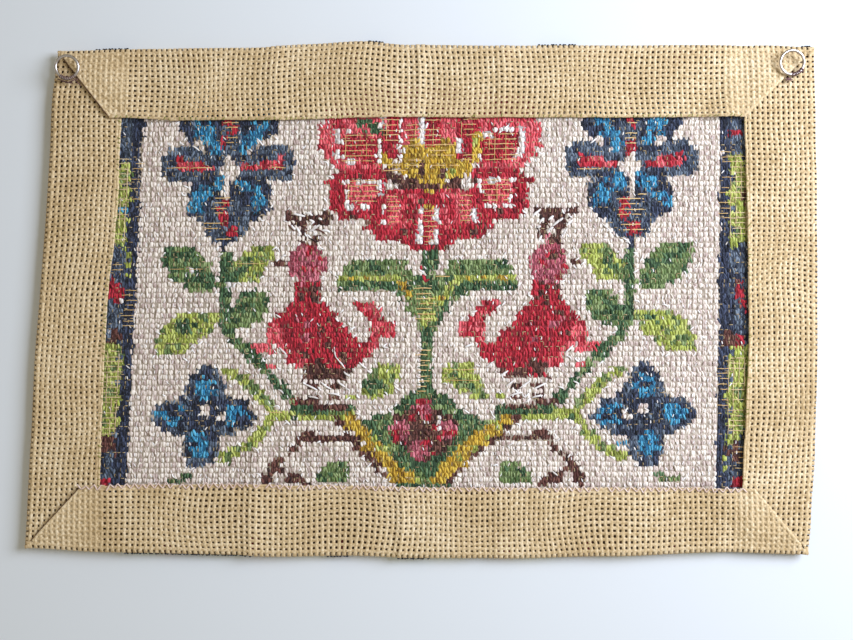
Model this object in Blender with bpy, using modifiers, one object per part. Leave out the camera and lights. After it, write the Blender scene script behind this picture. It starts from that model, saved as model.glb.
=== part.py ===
"""Embroidered wall hanging, shown from its reverse.

One cloth: a panel of open canvas worked all over in wool, with its bare canvas hems turned back
onto the reverse and mitred at the corners. Two wire rings, sewn to the top corners, hang it up.

Metres, +Z up. The reverse, with the hems and the rings, faces -Y, and the worked front faces +Y.
The origin is the middle of the top edge, half way through the folded edge. It hangs in the XZ plane.
"""

from collections import namedtuple
from math import cos, pi, radians, sin

import bmesh
import bpy
from mathutils import Matrix, Vector

MM = 0.001

# Layers of the cloth
PANEL_THICKNESS = 2.4 * MM
HEM_THICKNESS = 1.2 * MM
LAYER_GAP = 0.45 * MM
FOLD_RADIUS = (PANEL_THICKNESS / 2 + LAYER_GAP + HEM_THICKNESS / 2) / 2

# How finely the sheet is divided
CELL = 10 * MM
ROW_HEIGHT = 16 * MM
FOLD_BORDER = 3 * MM
FOLD_STEPS = 4
HEM_STEPS = 3
# An even station gives way to a ripple's own where the two are nearer than this share of a step
CROWDED = 0.4

# Mitred corners: the ends of the top and bottom hems lie over the side hems and the tucked canvas.
# Along the mitre the layers part over the first step in from the fold, and then lie one on the other.
MITRE_GAP = 0.7 * MM
MITRE_DRAW = 75 * MM
TUCK_LIFT = 1.6 * MM
TUCK_FLAT = 14 * MM
TUCK_LENGTH = 42 * MM
PARTED = 1 / HEM_STEPS
# The share of a side, at each end, over which the round of its fold turns towards the corner
CORNER_TURN = 0.01

# Rings
RING_WIRE = 1.4 * MM
RING_SEAT_GAP = 0.3 * MM
RING_STEPS = 32
WIRE_STEPS = 10

CLOTH_COLOUR = (0.62, 0.47, 0.26, 1)
RING_COLOUR = (0.72, 0.71, 0.69, 1)

# Each corner: the folded corner itself, where the mitre ends on the upper hem's inner edge, and the
# corner of the worked window, where the side hem's inner edge runs in under the upper hem. In mm.
Corner = namedtuple("Corner", "x z mitre_x mitre_z window_x window_z")
TOP_LEFT = Corner(-187.8, -3.3, -160.5, -37.8, -155.0, -38.0)
TOP_RIGHT = Corner(187.9, -1.3, 152.0, -36.9, 152.0, -36.9)
BOTTOM_RIGHT = Corner(179.7, -250.9, 153.1, -219.0, 147.8, -218.6)
BOTTOM_LEFT = Corner(-198.6, -247.8, -170.8, -217.6, -162.3, -217.8)

# How far an edge swells out from the straight line between its corners, at shares of its length. In mm.
Swell = namedtuple("Swell", "share fold hem")
TOP_SWELLS = (
    Swell(0.00, 0.0, 0.0),
    Swell(0.12, 1.0, -0.8),
    Swell(0.26, 1.2, -1.1),
    Swell(0.33, 2.8, -0.6),
    Swell(0.40, 3.8, -0.1),
    Swell(0.46, 2.2, 0.3),
    Swell(0.60, 1.5, 0.0),
    Swell(0.80, 1.5, -0.2),
    Swell(0.94, 1.0, 0.0),
    Swell(1.00, 0.0, 0.0),
)
BOTTOM_SWELLS = (
    Swell(0.00, 0.0, 0.0),
    Swell(0.10, 1.6, -0.8),
    Swell(0.27, 2.3, -1.2),
    Swell(0.31, 3.2, -0.7),
    Swell(0.42, 2.4, -0.3),
    Swell(0.50, 3.2, 0.0),
    Swell(0.62, 3.0, 0.1),
    Swell(0.74, 1.6, 0.0),
    Swell(0.90, -0.8, -0.3),
    Swell(1.00, 0.0, 0.0),
)
LEFT_SWELLS = (
    Swell(0.00, 0.0, 0.0),
    Swell(0.10, 1.4, 0.0),
    Swell(0.22, 0.7, -0.6),
    Swell(0.33, 0.6, 0.0),
    Swell(0.47, 0.9, 1.5),
    Swell(0.62, 1.4, 1.5),
    Swell(0.80, 0.6, 1.0),
    Swell(1.00, 0.0, 0.0),
)
RIGHT_SWELLS = (
    Swell(0.00, 0.0, 0.0),
    Swell(0.15, 1.2, 0.9),
    Swell(0.30, 2.3, 1.8),
    Swell(0.47, 3.0, 2.5),
    Swell(0.62, 3.4, 2.6),
    Swell(0.80, 2.7, 1.4),
    Swell(0.94, 1.1, 0.3),
    Swell(1.00, 0.0, 0.0),
)

# Soft upright ridges and troughs. Share is the place along the width, and the three heights are
# how far the cloth comes forward there at the top edge, half way down and at the bottom edge. In mm.
Ripple = namedtuple("Ripple", "share half_width top middle bottom")
RIPPLES = (
    Ripple(0.12, 26.0, -0.6, -0.2, 0.5),
    Ripple(0.29, 7.0, 0.8, 0.2, 1.1),
    Ripple(0.40, 30.0, 1.0, 0.4, -0.5),
    Ripple(0.48, 4.0, 0.9, 0.2, 0.9),
    Ripple(0.59, 6.0, 0.7, 0.2, -0.6),
    Ripple(0.76, 30.0, -0.6, 0.1, 0.4),
    Ripple(0.905, 8.0, -0.7, -0.1, -0.6),
)

# Rings: the middle of each ring and its size across, in mm, then where round the ring it is tied down
# and how far it leans out from there, in degrees. Round the ring is counted from +X towards +Z.
Ring = namedtuple("Ring", "name x z across tied lean")
RINGS = (
    Ring("ring_left", -180.8, -13.5, 12.4, 270, 8),
    Ring("ring_right", 174.4, -11.2, 13.0, 275, 8),
)


def start_scene():
    """Empties the scene and returns the collection that holds the hanging."""
    for old in list(bpy.data.objects):
        bpy.data.objects.remove(old, do_unlink=True)
    collection = bpy.data.collections.new("embroidered_wall_hanging")
    bpy.context.scene.collection.children.link(collection)
    return collection


def material(name, colour, roughness, metallic):
    made = bpy.data.materials.new(name)
    made.use_nodes = True
    shader = made.node_tree.nodes["Principled BSDF"]
    shader.inputs["Base Color"].default_value = colour
    shader.inputs["Roughness"].default_value = roughness
    shader.inputs["Metallic"].default_value = metallic
    made.diffuse_color = colour
    return made


def ease(value):
    """A smooth step from 0 to 1."""
    value = min(1.0, max(0.0, value))
    return value * value * (3 - 2 * value)


def swell_at(rows, share, column):
    """Reads one column of a table of swells at a share of the edge, eased between its rows."""
    for low, high in zip(rows, rows[1:]):
        if share <= high.share:
            part = ease((share - low.share) / (high.share - low.share))
            return getattr(low, column) * (1 - part) + getattr(high, column) * part
    return getattr(rows[-1], column)


def edge_point(start, end, rows, column, outward, share, inset=0.0):
    """A point on an edge from start to end, which are (x, z) in mm. The inset and the point are in metres."""
    swell = swell_at(rows, share, column) * MM - inset
    x = (start[0] * (1 - share) + end[0] * share) * MM
    z = (start[1] * (1 - share) + end[1] * share) * MM
    return x + outward[0] * swell, z + outward[1] * swell


# The four sides of the cloth, each from its left or top corner to its right or bottom one
Side = namedtuple("Side", "start end swells outward tucked")
SIDES = {
    "top": Side(TOP_LEFT, TOP_RIGHT, TOP_SWELLS, (0, 1), True),
    "bottom": Side(BOTTOM_LEFT, BOTTOM_RIGHT, BOTTOM_SWELLS, (0, -1), True),
    "left": Side(TOP_LEFT, BOTTOM_LEFT, LEFT_SWELLS, (-1, 0), False),
    "right": Side(TOP_RIGHT, BOTTOM_RIGHT, RIGHT_SWELLS, (1, 0), False),
}


def fold_line(side, share):
    """Where the panel turns into its hem: the outline, less the round of the fold."""
    inset = FOLD_RADIUS + HEM_THICKNESS / 2
    start, end = ((corner.x, corner.z) for corner in (side.start, side.end))
    x, z = edge_point(start, end, side.swells, "fold", side.outward, share, inset)
    # Along the edge the ends are drawn in too, so that two folds meet at the corner
    along = inset * (1 - 2 * share)
    return (x + along, z) if side.outward[0] == 0 else (x, z - along)


def hem_ends(side, under):
    """Both ends of a hem's free edge, as (x, z) in mm. Under, from 0 to 1, takes a side hem's end from
    the mitre on to the window's corner, beneath the upper hem."""
    under = 0 if side.tucked else under
    return [
        (
            corner.mitre_x + (corner.window_x - corner.mitre_x) * under,
            corner.mitre_z + (corner.window_z - corner.mitre_z) * under,
        )
        for corner in (side.start, side.end)
    ]


def forward(x, z):
    """How far the cloth comes forward at a place on it, in metres: the sum of its ripples."""
    down = (z / MM - TOP_LEFT.z) / (BOTTOM_LEFT.z - TOP_LEFT.z)
    left = TOP_LEFT.x + (BOTTOM_LEFT.x - TOP_LEFT.x) * down
    right = TOP_RIGHT.x + (BOTTOM_RIGHT.x - TOP_RIGHT.x) * down
    upper, lower = ease(down * 2), ease(down * 2 - 1)
    height = 0.0
    for ripple in RIPPLES:
        away = abs(x / MM - left - ripple.share * (right - left)) / ripple.half_width
        level = ripple.top + (ripple.middle - ripple.top) * upper
        level += (ripple.bottom - ripple.middle) * lower
        height += level * MM * ease(1 - away)
    return height


def panel_point(across, down):
    """A point of the panel's middle surface: a patch blended between its four fold lines."""
    top, bottom = fold_line(SIDES["top"], across), fold_line(SIDES["bottom"], across)
    left, right = fold_line(SIDES["left"], down), fold_line(SIDES["right"], down)
    corners = {
        name: (fold_line(SIDES[name], 0), fold_line(SIDES[name], 1))
        for name in ("top", "bottom")
    }
    point = []
    for axis in (0, 1):
        upper = corners["top"][0][axis] * (1 - across) + corners["top"][1][axis] * across
        lower = corners["bottom"][0][axis] * (1 - across) + corners["bottom"][1][axis] * across
        ruled = (
            top[axis] * (1 - down)
            + bottom[axis] * down
            + left[axis] * (1 - across)
            + right[axis] * across
        )
        point.append(ruled - upper * (1 - down) - lower * down)
    x, z = point
    return x, FOLD_RADIUS - forward(x, z), z


def side_length(side):
    run = side.end.x - side.start.x, side.end.z - side.start.z
    return (run[0] ** 2 + run[1] ** 2) ** 0.5 * MM


def tuck(side, share, depth):
    """How far the ends of the top and bottom hems are lifted by the layers below them."""
    if not side.tucked:
        return 0.0
    from_end = min(share, 1 - share) * side_length(side)
    lifted = ease((TUCK_LENGTH - from_end) / (TUCK_LENGTH - TUCK_FLAT))
    return TUCK_LIFT * lifted * ease(depth / PARTED)


def free_edge(side, share, under):
    """The point of the hem's free edge that lies straight in from a share of the fold. Near the mitres
    the canvas is drawn along, because the free edge is shorter than the fold."""
    fold = fold_line(side, share)
    axis = 0 if side.outward[0] == 0 else 1
    ends = hem_ends(side, under)
    start, end = (point[axis] * MM for point in ends)
    first, last = fold_line(side, 0)[axis], fold_line(side, 1)[axis]
    drawn = (start - first) * ease(1 - abs(fold[axis] - first) / MITRE_DRAW)
    drawn += (end - last) * ease(1 - abs(fold[axis] - last) / MITRE_DRAW)
    free_share = (fold[axis] + drawn - start) / (end - start)
    return edge_point(*ends, side.swells, "hem", side.outward, free_share)


def hem_point(name, share, turn, depth):
    """A point of a hem's middle surface. Turn runs from 0 to 1 round the fold, then depth from 0 to 1
    from the fold to the free edge."""
    side = SIDES[name]
    gap = MITRE_GAP / side_length(side)
    kept = gap + share * (1 - 2 * gap)
    fold = fold_line(side, kept)
    edge = free_edge(side, kept, max(0, depth - PARTED) / (1 - PARTED))
    x, z = (fold[i] * (1 - depth) + edge[i] * depth for i in (0, 1))
    y = FOLD_RADIUS * cos(pi * turn) - forward(x, z) - tuck(side, share, depth)
    # The round of the fold reaches out, and at its ends along as well, so that two folds close a corner
    reach = FOLD_RADIUS * sin(pi * turn)
    along = reach * (ease(1 - (1 - share) / CORNER_TURN) - ease(1 - share / CORNER_TURN))
    if side.outward[0] == 0:
        return x + along, y, z + side.outward[1] * reach
    return x + side.outward[0] * reach, y, z - along


def stations(length, step, ripples):
    """Shares of a length to divide the cloth at: even steps, with more of them at each ripple."""
    count = round(length / step)
    even = [i / count for i in range(count + 1)]
    border = FOLD_BORDER / length
    fine = [border, 1 - border]
    for ripple in ripples:
        if ripple.half_width * MM < step:
            half = ripple.half_width * MM / length
            fine += [ripple.share + half * part for part in (-1, -0.5, 0, 0.5, 1)]
    clear = CROWDED * step / length
    kept = [share for share in even if share in (0, 1) or all(abs(share - f) > clear for f in fine)]
    return sorted(kept + fine)


def folded_sheet():
    """The cloth's middle surface as a bmesh, and how many of its points are the panel's: a grid for the
    panel, and a strip for each hem, extruded from the panel's edge round the fold and back over it."""
    columns = stations(side_length(SIDES["top"]), CELL, RIPPLES)
    rows = stations(side_length(SIDES["left"]), ROW_HEIGHT, ())
    sheet = bmesh.new()
    bmesh.ops.create_grid(sheet, x_segments=len(columns) - 1, y_segments=len(rows) - 1, size=1)
    place = {}
    for vert in sheet.verts:
        column = round((vert.co.x + 1) / 2 * (len(columns) - 1))
        row = round((1 - vert.co.y) / 2 * (len(rows) - 1))
        place[vert] = column, row
    last_column, last_row = len(columns) - 1, len(rows) - 1
    on_side = {
        "top": lambda column, row: row == 0,
        "bottom": lambda column, row: row == last_row,
        "left": lambda column, row: column == 0,
        "right": lambda column, row: column == last_column,
    }
    outer = [edge for edge in sheet.edges if edge.is_boundary]
    borders = {
        name: [edge for edge in outer if all(test(*place[vert]) for vert in edge.verts)]
        for name, test in on_side.items()
    }
    for vert, (column, row) in place.items():
        vert.co = panel_point(columns[column], rows[row])
    turns = [((step + 1) / FOLD_STEPS, 0) for step in range(FOLD_STEPS)]
    depths = [(1, (step + 1) / HEM_STEPS) for step in range(HEM_STEPS)]
    for name, border in borders.items():
        upright = name in ("left", "right")
        share_of = {
            vert: rows[place[vert][1]] if upright else columns[place[vert][0]]
            for edge in border
            for vert in edge.verts
        }
        for turn, depth in turns + depths:
            before = {tuple(vert.co): share for vert, share in share_of.items()}
            made = bmesh.ops.extrude_edge_only(sheet, edges=border)["geom"]
            share_of = {v: before[tuple(v.co)] for v in made if isinstance(v, bmesh.types.BMVert)}
            border = [
                edge
                for edge in made
                if isinstance(edge, bmesh.types.BMEdge) and all(v in share_of for v in edge.verts)
            ]
            for vert, share in share_of.items():
                vert.co = hem_point(name, share, turn, depth)
    bmesh.ops.recalc_face_normals(sheet, faces=sheet.faces)
    return sheet, len(place)


def make_cloth(collection):
    """The whole cloth in one piece: full thickness where it is worked, thinner round the fold and
    along the bare canvas hems."""
    sheet, panel_count = folded_sheet()
    mesh = bpy.data.meshes.new("cloth")
    sheet.to_mesh(mesh)
    sheet.free()
    cloth = bpy.data.objects.new("cloth", mesh)
    collection.objects.link(cloth)
    worked = cloth.vertex_groups.new(name="worked")
    on_edge = {
        index
        for edge in mesh.edges
        for index in edge.vertices
        if (edge.vertices[0] < panel_count) != (edge.vertices[1] < panel_count)
    }
    worked.add([i for i in range(panel_count) if i not in on_edge], 1.0, "REPLACE")
    solid = cloth.modifiers.new("thickness", "SOLIDIFY")
    solid.thickness = PANEL_THICKNESS
    solid.offset = 0
    solid.vertex_group = "worked"
    solid.thickness_vertex_group = HEM_THICKNESS / PANEL_THICKNESS
    mesh.materials.append(material("worked canvas", CLOTH_COLOUR, 0.95, 0))
    return cloth


def seat(ring):
    """Where the ring's middle is in y: the wire clears the top hem that carries it by the seat gap. The
    wire comes nearest the cloth where it is tied, and leans away from it all the way round from there."""
    radius = (ring.across * MM - RING_WIRE) / 2
    width = TOP_RIGHT.x - TOP_LEFT.x
    limits = []
    for step in range(RING_STEPS):
        angle = 2 * pi * step / RING_STEPS
        x = ring.x + ring.across / 2 * cos(angle)
        z = ring.z + ring.across / 2 * sin(angle)
        share = min(1.0, max(0.0, (x - TOP_LEFT.x) / width))
        depth = min(1.0, max(0.0, (TOP_LEFT.z - z) / (TOP_LEFT.z - TOP_LEFT.mitre_z)))
        surface = hem_point("top", share, 1, depth)[1] - HEM_THICKNESS / 2
        towards_cloth = radius * cos(angle - radians(ring.tied)) * sin(radians(ring.lean))
        limits.append(surface - towards_cloth)
    return min(limits) - RING_SEAT_GAP - RING_WIRE / 2


def make_ring(collection, ring, metal):
    """A round wire ring, tied at its foot to the corner of the hem and leaning a little out from it."""
    tied = radians(ring.tied)
    hinge = Vector((-sin(tied), 0, cos(tied)))
    turn = Matrix.Rotation(radians(ring.lean), 3, hinge) @ Matrix.Rotation(pi / 2, 3, "X")
    bpy.ops.mesh.primitive_torus_add(
        major_segments=RING_STEPS,
        minor_segments=WIRE_STEPS,
        major_radius=(ring.across * MM - RING_WIRE) / 2,
        minor_radius=RING_WIRE / 2,
        location=(ring.x * MM, seat(ring), ring.z * MM),
        rotation=turn.to_euler(),
    )
    made = bpy.context.object
    made.name = made.data.name = ring.name
    for owner in list(made.users_collection):
        owner.objects.unlink(made)
    collection.objects.link(made)
    made.data.shade_smooth()
    made.data.materials.append(metal)
    return made


def build():
    collection = start_scene()
    make_cloth(collection)
    metal = material("plated wire", RING_COLOUR, 0.25, 1)
    for ring in RINGS:
        make_ring(collection, ring, metal)


build()
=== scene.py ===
from collections import namedtuple
from math import pi

import bpy
import numpy as np
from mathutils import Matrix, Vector


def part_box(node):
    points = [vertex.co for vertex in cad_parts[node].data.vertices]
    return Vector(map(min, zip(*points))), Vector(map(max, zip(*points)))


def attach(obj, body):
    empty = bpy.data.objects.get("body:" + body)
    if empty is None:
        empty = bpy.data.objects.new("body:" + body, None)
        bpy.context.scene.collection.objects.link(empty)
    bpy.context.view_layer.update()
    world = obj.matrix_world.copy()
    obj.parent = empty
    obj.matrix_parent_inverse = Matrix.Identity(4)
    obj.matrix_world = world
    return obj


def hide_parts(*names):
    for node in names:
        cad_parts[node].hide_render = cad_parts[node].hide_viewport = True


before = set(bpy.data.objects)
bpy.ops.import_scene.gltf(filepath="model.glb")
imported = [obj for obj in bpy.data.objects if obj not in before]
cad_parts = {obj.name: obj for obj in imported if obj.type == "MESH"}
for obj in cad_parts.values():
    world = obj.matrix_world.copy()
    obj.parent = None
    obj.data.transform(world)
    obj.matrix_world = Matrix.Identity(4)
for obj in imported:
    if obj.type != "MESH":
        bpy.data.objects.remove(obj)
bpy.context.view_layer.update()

# The shape in which the cloth hangs
# One panel of open cotton canvas with its bare edges folded onto the reverse and mitred, a little
# wavy from the work. These are the sizes of the part's own source, read for whole rows of places.

MM = 0.001
PANEL_THICKNESS = 2.4 * MM
HEM_THICKNESS = 1.2 * MM
LAYER_GAP = 0.45 * MM
FOLD_RADIUS = (PANEL_THICKNESS / 2 + LAYER_GAP + HEM_THICKNESS / 2) / 2
MITRE_DRAW = 75 * MM
TUCK_LIFT = 1.6 * MM
TUCK_FLAT = 14 * MM
TUCK_LENGTH = 42 * MM
PARTED = 1 / 3
LIE_ROUNDS = 6

# The folded corner, the end of its mitre, and the corner of the worked window, in mm
Corner = namedtuple("Corner", "x z mitre_x mitre_z window_x window_z")
TOP_LEFT = Corner(-187.8, -3.3, -160.5, -37.8, -155.0, -38.0)
TOP_RIGHT = Corner(187.9, -1.3, 152.0, -36.9, 152.0, -36.9)
BOTTOM_RIGHT = Corner(179.7, -250.9, 153.1, -219.0, 147.8, -218.6)
BOTTOM_LEFT = Corner(-198.6, -247.8, -170.8, -217.6, -162.3, -217.8)

# How far the fold and the hem's free edge swell out at shares of a side, in mm
Swell = namedtuple("Swell", "share fold hem")
TOP_SWELLS = (
    Swell(0.00, 0.0, 0.0),
    Swell(0.12, 1.0, -0.8),
    Swell(0.26, 1.2, -1.1),
    Swell(0.33, 2.8, -0.6),
    Swell(0.40, 3.8, -0.1),
    Swell(0.46, 2.2, 0.3),
    Swell(0.60, 1.5, 0.0),
    Swell(0.80, 1.5, -0.2),
    Swell(0.94, 1.0, 0.0),
    Swell(1.00, 0.0, 0.0),
)
BOTTOM_SWELLS = (
    Swell(0.00, 0.0, 0.0),
    Swell(0.10, 1.6, -0.8),
    Swell(0.27, 2.3, -1.2),
    Swell(0.31, 3.2, -0.7),
    Swell(0.42, 2.4, -0.3),
    Swell(0.50, 3.2, 0.0),
    Swell(0.62, 3.0, 0.1),
    Swell(0.74, 1.6, 0.0),
    Swell(0.90, -0.8, -0.3),
    Swell(1.00, 0.0, 0.0),
)
LEFT_SWELLS = (
    Swell(0.00, 0.0, 0.0),
    Swell(0.10, 1.4, 0.0),
    Swell(0.22, 0.7, -0.6),
    Swell(0.33, 0.6, 0.0),
    Swell(0.47, 0.9, 1.5),
    Swell(0.62, 1.4, 1.5),
    Swell(0.80, 0.6, 1.0),
    Swell(1.00, 0.0, 0.0),
)
RIGHT_SWELLS = (
    Swell(0.00, 0.0, 0.0),
    Swell(0.15, 1.2, 0.9),
    Swell(0.30, 2.3, 1.8),
    Swell(0.47, 3.0, 2.5),
    Swell(0.62, 3.4, 2.6),
    Swell(0.80, 2.7, 1.4),
    Swell(0.94, 1.1, 0.3),
    Swell(1.00, 0.0, 0.0),
)

# Upright ridges and troughs: how far the cloth comes forward at the top, middle and bottom, in mm
Ripple = namedtuple("Ripple", "share half_width top middle bottom")
RIPPLES = (
    Ripple(0.12, 26.0, -0.6, -0.2, 0.5),
    Ripple(0.29, 7.0, 0.8, 0.2, 1.1),
    Ripple(0.40, 30.0, 1.0, 0.4, -0.5),
    Ripple(0.48, 4.0, 0.9, 0.2, 0.9),
    Ripple(0.59, 6.0, 0.7, 0.2, -0.6),
    Ripple(0.76, 30.0, -0.6, 0.1, 0.4),
    Ripple(0.905, 8.0, -0.7, -0.1, -0.6),
)

Side = namedtuple("Side", "start end swells outward tucked")
SIDES = {
    "top": Side(TOP_LEFT, TOP_RIGHT, TOP_SWELLS, (0, 1), True),
    "bottom": Side(BOTTOM_LEFT, BOTTOM_RIGHT, BOTTOM_SWELLS, (0, -1), True),
    "left": Side(TOP_LEFT, BOTTOM_LEFT, LEFT_SWELLS, (-1, 0), False),
    "right": Side(TOP_RIGHT, BOTTOM_RIGHT, RIGHT_SWELLS, (1, 0), False),
}


def ease(value):
    """A smooth step from 0 to 1."""
    value = np.clip(value, 0.0, 1.0)
    return value * value * (3 - 2 * value)


def edge_line(start, end, rows, column, outward, share, inset=0.0):
    """Places on an edge from start to end, which are (x, z) in mm, at shares of its length."""
    swell = np.full(np.shape(share), getattr(rows[0], column))
    for low, high in zip(rows, rows[1:]):
        part = ease((share - low.share) / (high.share - low.share))
        swell = swell + (getattr(high, column) - getattr(low, column)) * part
    swell = swell * MM - inset
    x = (start[0] * (1 - share) + end[0] * share) * MM + outward[0] * swell
    z = (start[1] * (1 - share) + end[1] * share) * MM + outward[1] * swell
    return x, z


def fold_line(name, share):
    """Where the panel turns into its hem."""
    side = SIDES[name]
    inset = FOLD_RADIUS + HEM_THICKNESS / 2
    ends = ((corner.x, corner.z) for corner in (side.start, side.end))
    x, z = edge_line(*ends, side.swells, "fold", side.outward, share, inset)
    along = inset * (1 - 2 * share)
    return (x + along, z) if side.outward[0] == 0 else (x, z - along)


def free_edge(name, share, under):
    """The hem's free edge straight in from a share of the fold. Under takes a side hem's ends from the
    mitre, at 0, to the window's corner beneath the upper hem, at 1."""
    side = SIDES[name]
    axis = 0 if side.outward[0] == 0 else 1
    under = 0 if side.tucked else under
    ends = [
        (
            corner.mitre_x + (corner.window_x - corner.mitre_x) * under,
            corner.mitre_z + (corner.window_z - corner.mitre_z) * under,
        )
        for corner in (side.start, side.end)
    ]
    fold = fold_line(name, share)[axis]
    first, last = fold_line(name, 0.0)[axis], fold_line(name, 1.0)[axis]
    start, end = (point[axis] * MM for point in ends)
    drawn = (start - first) * ease(1 - abs(fold - first) / MITRE_DRAW)
    drawn = drawn + (end - last) * ease(1 - abs(fold - last) / MITRE_DRAW)
    free_share = (fold + drawn - start) / (end - start)
    return edge_line(*ends, side.swells, "hem", side.outward, free_share)


def forward(x, z):
    """How far the cloth comes forward at a place on it: the sum of its ripples."""
    down = (z / MM - TOP_LEFT.z) / (BOTTOM_LEFT.z - TOP_LEFT.z)
    left = TOP_LEFT.x + (BOTTOM_LEFT.x - TOP_LEFT.x) * down
    right = TOP_RIGHT.x + (BOTTOM_RIGHT.x - TOP_RIGHT.x) * down
    upper, lower = ease(down * 2), ease(down * 2 - 1)
    height = 0.0
    for ripple in RIPPLES:
        away = abs(x / MM - left - ripple.share * (right - left)) / ripple.half_width
        level = ripple.top + (ripple.middle - ripple.top) * upper
        level = level + (ripple.bottom - ripple.middle) * lower
        height = height + level * MM * ease(1 - away)
    return height


def panel_place(across, down):
    """A place on the panel, blended between its four fold lines, as (x, z)."""
    top, bottom = fold_line("top", across), fold_line("bottom", across)
    left, right = fold_line("left", down), fold_line("right", down)
    place = []
    for axis in (0, 1):
        upper = fold_line("top", 0.0)[axis] * (1 - across) + fold_line("top", 1.0)[axis] * across
        lower = fold_line("bottom", 0.0)[axis] * (1 - across) + fold_line("bottom", 1.0)[axis] * across
        ruled = top[axis] * (1 - down) + bottom[axis] * down
        ruled = ruled + left[axis] * (1 - across) + right[axis] * across
        place.append(ruled - upper * (1 - down) - lower * down)
    return place


def hem_lie(name, x, z):
    """Where the middle of a turned-back hem lies in y at places on it."""
    side = SIDES[name]
    upright = side.outward[0] != 0
    along, inward = (z, x) if upright else (x, z)
    first, last = (fold_line(name, share)[int(upright)] for share in (0.0, 1.0))
    share = np.clip((along - first) / (last - first), 0, 1)
    depth = np.zeros_like(share)
    for _ in range(LIE_ROUNDS):
        fold = fold_line(name, share)
        edge = free_edge(name, share, np.clip((depth - PARTED) / (1 - PARTED), 0, 1))
        from_fold, to_edge = fold[int(not upright)], edge[int(not upright)]
        depth = np.clip((inward - from_fold) / (to_edge - from_fold), 0, 1)
        beside = fold[int(upright)] * (1 - depth) + edge[int(upright)] * depth
        share = np.clip(share + (along - beside) / (last - first), 0, 1)
    lie = -FOLD_RADIUS - forward(x, z)
    if side.tucked:
        from_end = np.minimum(share, 1 - share) * abs(last - first)
        lifted = ease((TUCK_LENGTH - from_end) / (TUCK_LENGTH - TUCK_FLAT))
        lie = lie - TUCK_LIFT * lifted * ease(depth / PARTED)
    return lie


# Counted squares of the canvas
# The canvas has 10 holes to the inch, and every stitch is counted on it. Columns are counted from the
# middle and rows from the top of the worked window. The work has pulled the squares a little out of true.

CanvasLine = namedtuple("CanvasLine", "column x_top z_top x_bottom z_bottom")
LEFT_LINE = CanvasLine(-55, -144.6, -39.1, -150.4, -219.0)
MIDDLE_LINE = CanvasLine(0, -3.0, -37.3, -5.4, -218.6)
RIGHT_LINE = CanvasLine(55, 140.7, -35.5, 135.7, -218.2)
WINDOW_ROWS = 72
SQUARE = 2.54 * MM

# In mm, where the search for the counted square of a place starts, and how far apart squares lie there
SEARCH_X = -4.0
SEARCH_Z = -37.0
COLUMN_STEP = 2.6
ROW_STEP = 2.52
SEARCH_ROUNDS = 5


def on_canvas(column, row):
    """The place (x, z) of a counted column and row."""
    part = row / WINDOW_ROWS
    at = []
    for top, bottom in (("x_top", "x_bottom"), ("z_top", "z_bottom")):
        left, middle, right = (
            getattr(line, top) + (getattr(line, bottom) - getattr(line, top)) * part
            for line in (LEFT_LINE, MIDDLE_LINE, RIGHT_LINE)
        )
        left_side = middle + (left - middle) * column / LEFT_LINE.column
        right_side = middle + (right - middle) * column / RIGHT_LINE.column
        at.append(np.where(column < 0, left_side, right_side) * MM)
    return at


def counted(x, z):
    """The column and row of a place, the other way round."""
    column, row = (x / MM - SEARCH_X) / COLUMN_STEP, (SEARCH_Z - z / MM) / ROW_STEP
    for _ in range(SEARCH_ROUNDS):
        at_x, at_z = on_canvas(column, row)
        column = column + (x - at_x) / MM / COLUMN_STEP
        row = row - (z - at_z) / MM / ROW_STEP
    return column, row


SIDE_SHARES = 241
SIDE_PLACES = 900


def side_table(name):
    """One side as four rows of numbers: the place along it, its fold, its free edge or mitre, and the
    edge of the worked window."""
    side = SIDES[name]
    upright = side.outward[0] != 0
    shares = np.linspace(0, 1, SIDE_SHARES)
    fold = fold_line(name, shares)
    edge = free_edge(name, shares, 1.0)
    ends = [(corner.x * MM, corner.z * MM) for corner in (side.start, side.end)]
    mitres = [(corner.mitre_x * MM, corner.mitre_z * MM) for corner in (side.start, side.end)]
    inner = [ends[0], mitres[0], *zip(*edge), mitres[1], ends[1]]
    along, across = (1, 0) if upright else (0, 1)
    inner = sorted((place[along], place[across]) for place in inner)
    places = np.linspace(inner[0][0], inner[-1][0], SIDE_PLACES)
    order = np.argsort(fold[along])
    folds = np.interp(places, fold[along][order], fold[across][order])
    mitred = np.interp(places, *zip(*inner))
    order = np.argsort(edge[along])
    window = np.interp(places, edge[along][order], edge[across][order])
    return places, folds, mitred, window


SIDE_TABLES = {name: side_table(name) for name in SIDES}


def fold_at(name, along):
    """How far out the fold is at a place along a side."""
    return np.interp(along, SIDE_TABLES[name][0], SIDE_TABLES[name][1])


def mitre_at(name, along):
    """Where the hem ends there: at its free edge, or at the mitre near a corner."""
    return np.interp(along, SIDE_TABLES[name][0], SIDE_TABLES[name][2])


def window_at(name, along):
    """Where the worked window begins there."""
    return np.interp(along, SIDE_TABLES[name][0], SIDE_TABLES[name][3])


# Threads, and how pieces are made of them
# Canvas and wool are both threads laid in rows, so each is a half-round strip along a row of points.

chance = np.random.default_rng(41)


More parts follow.
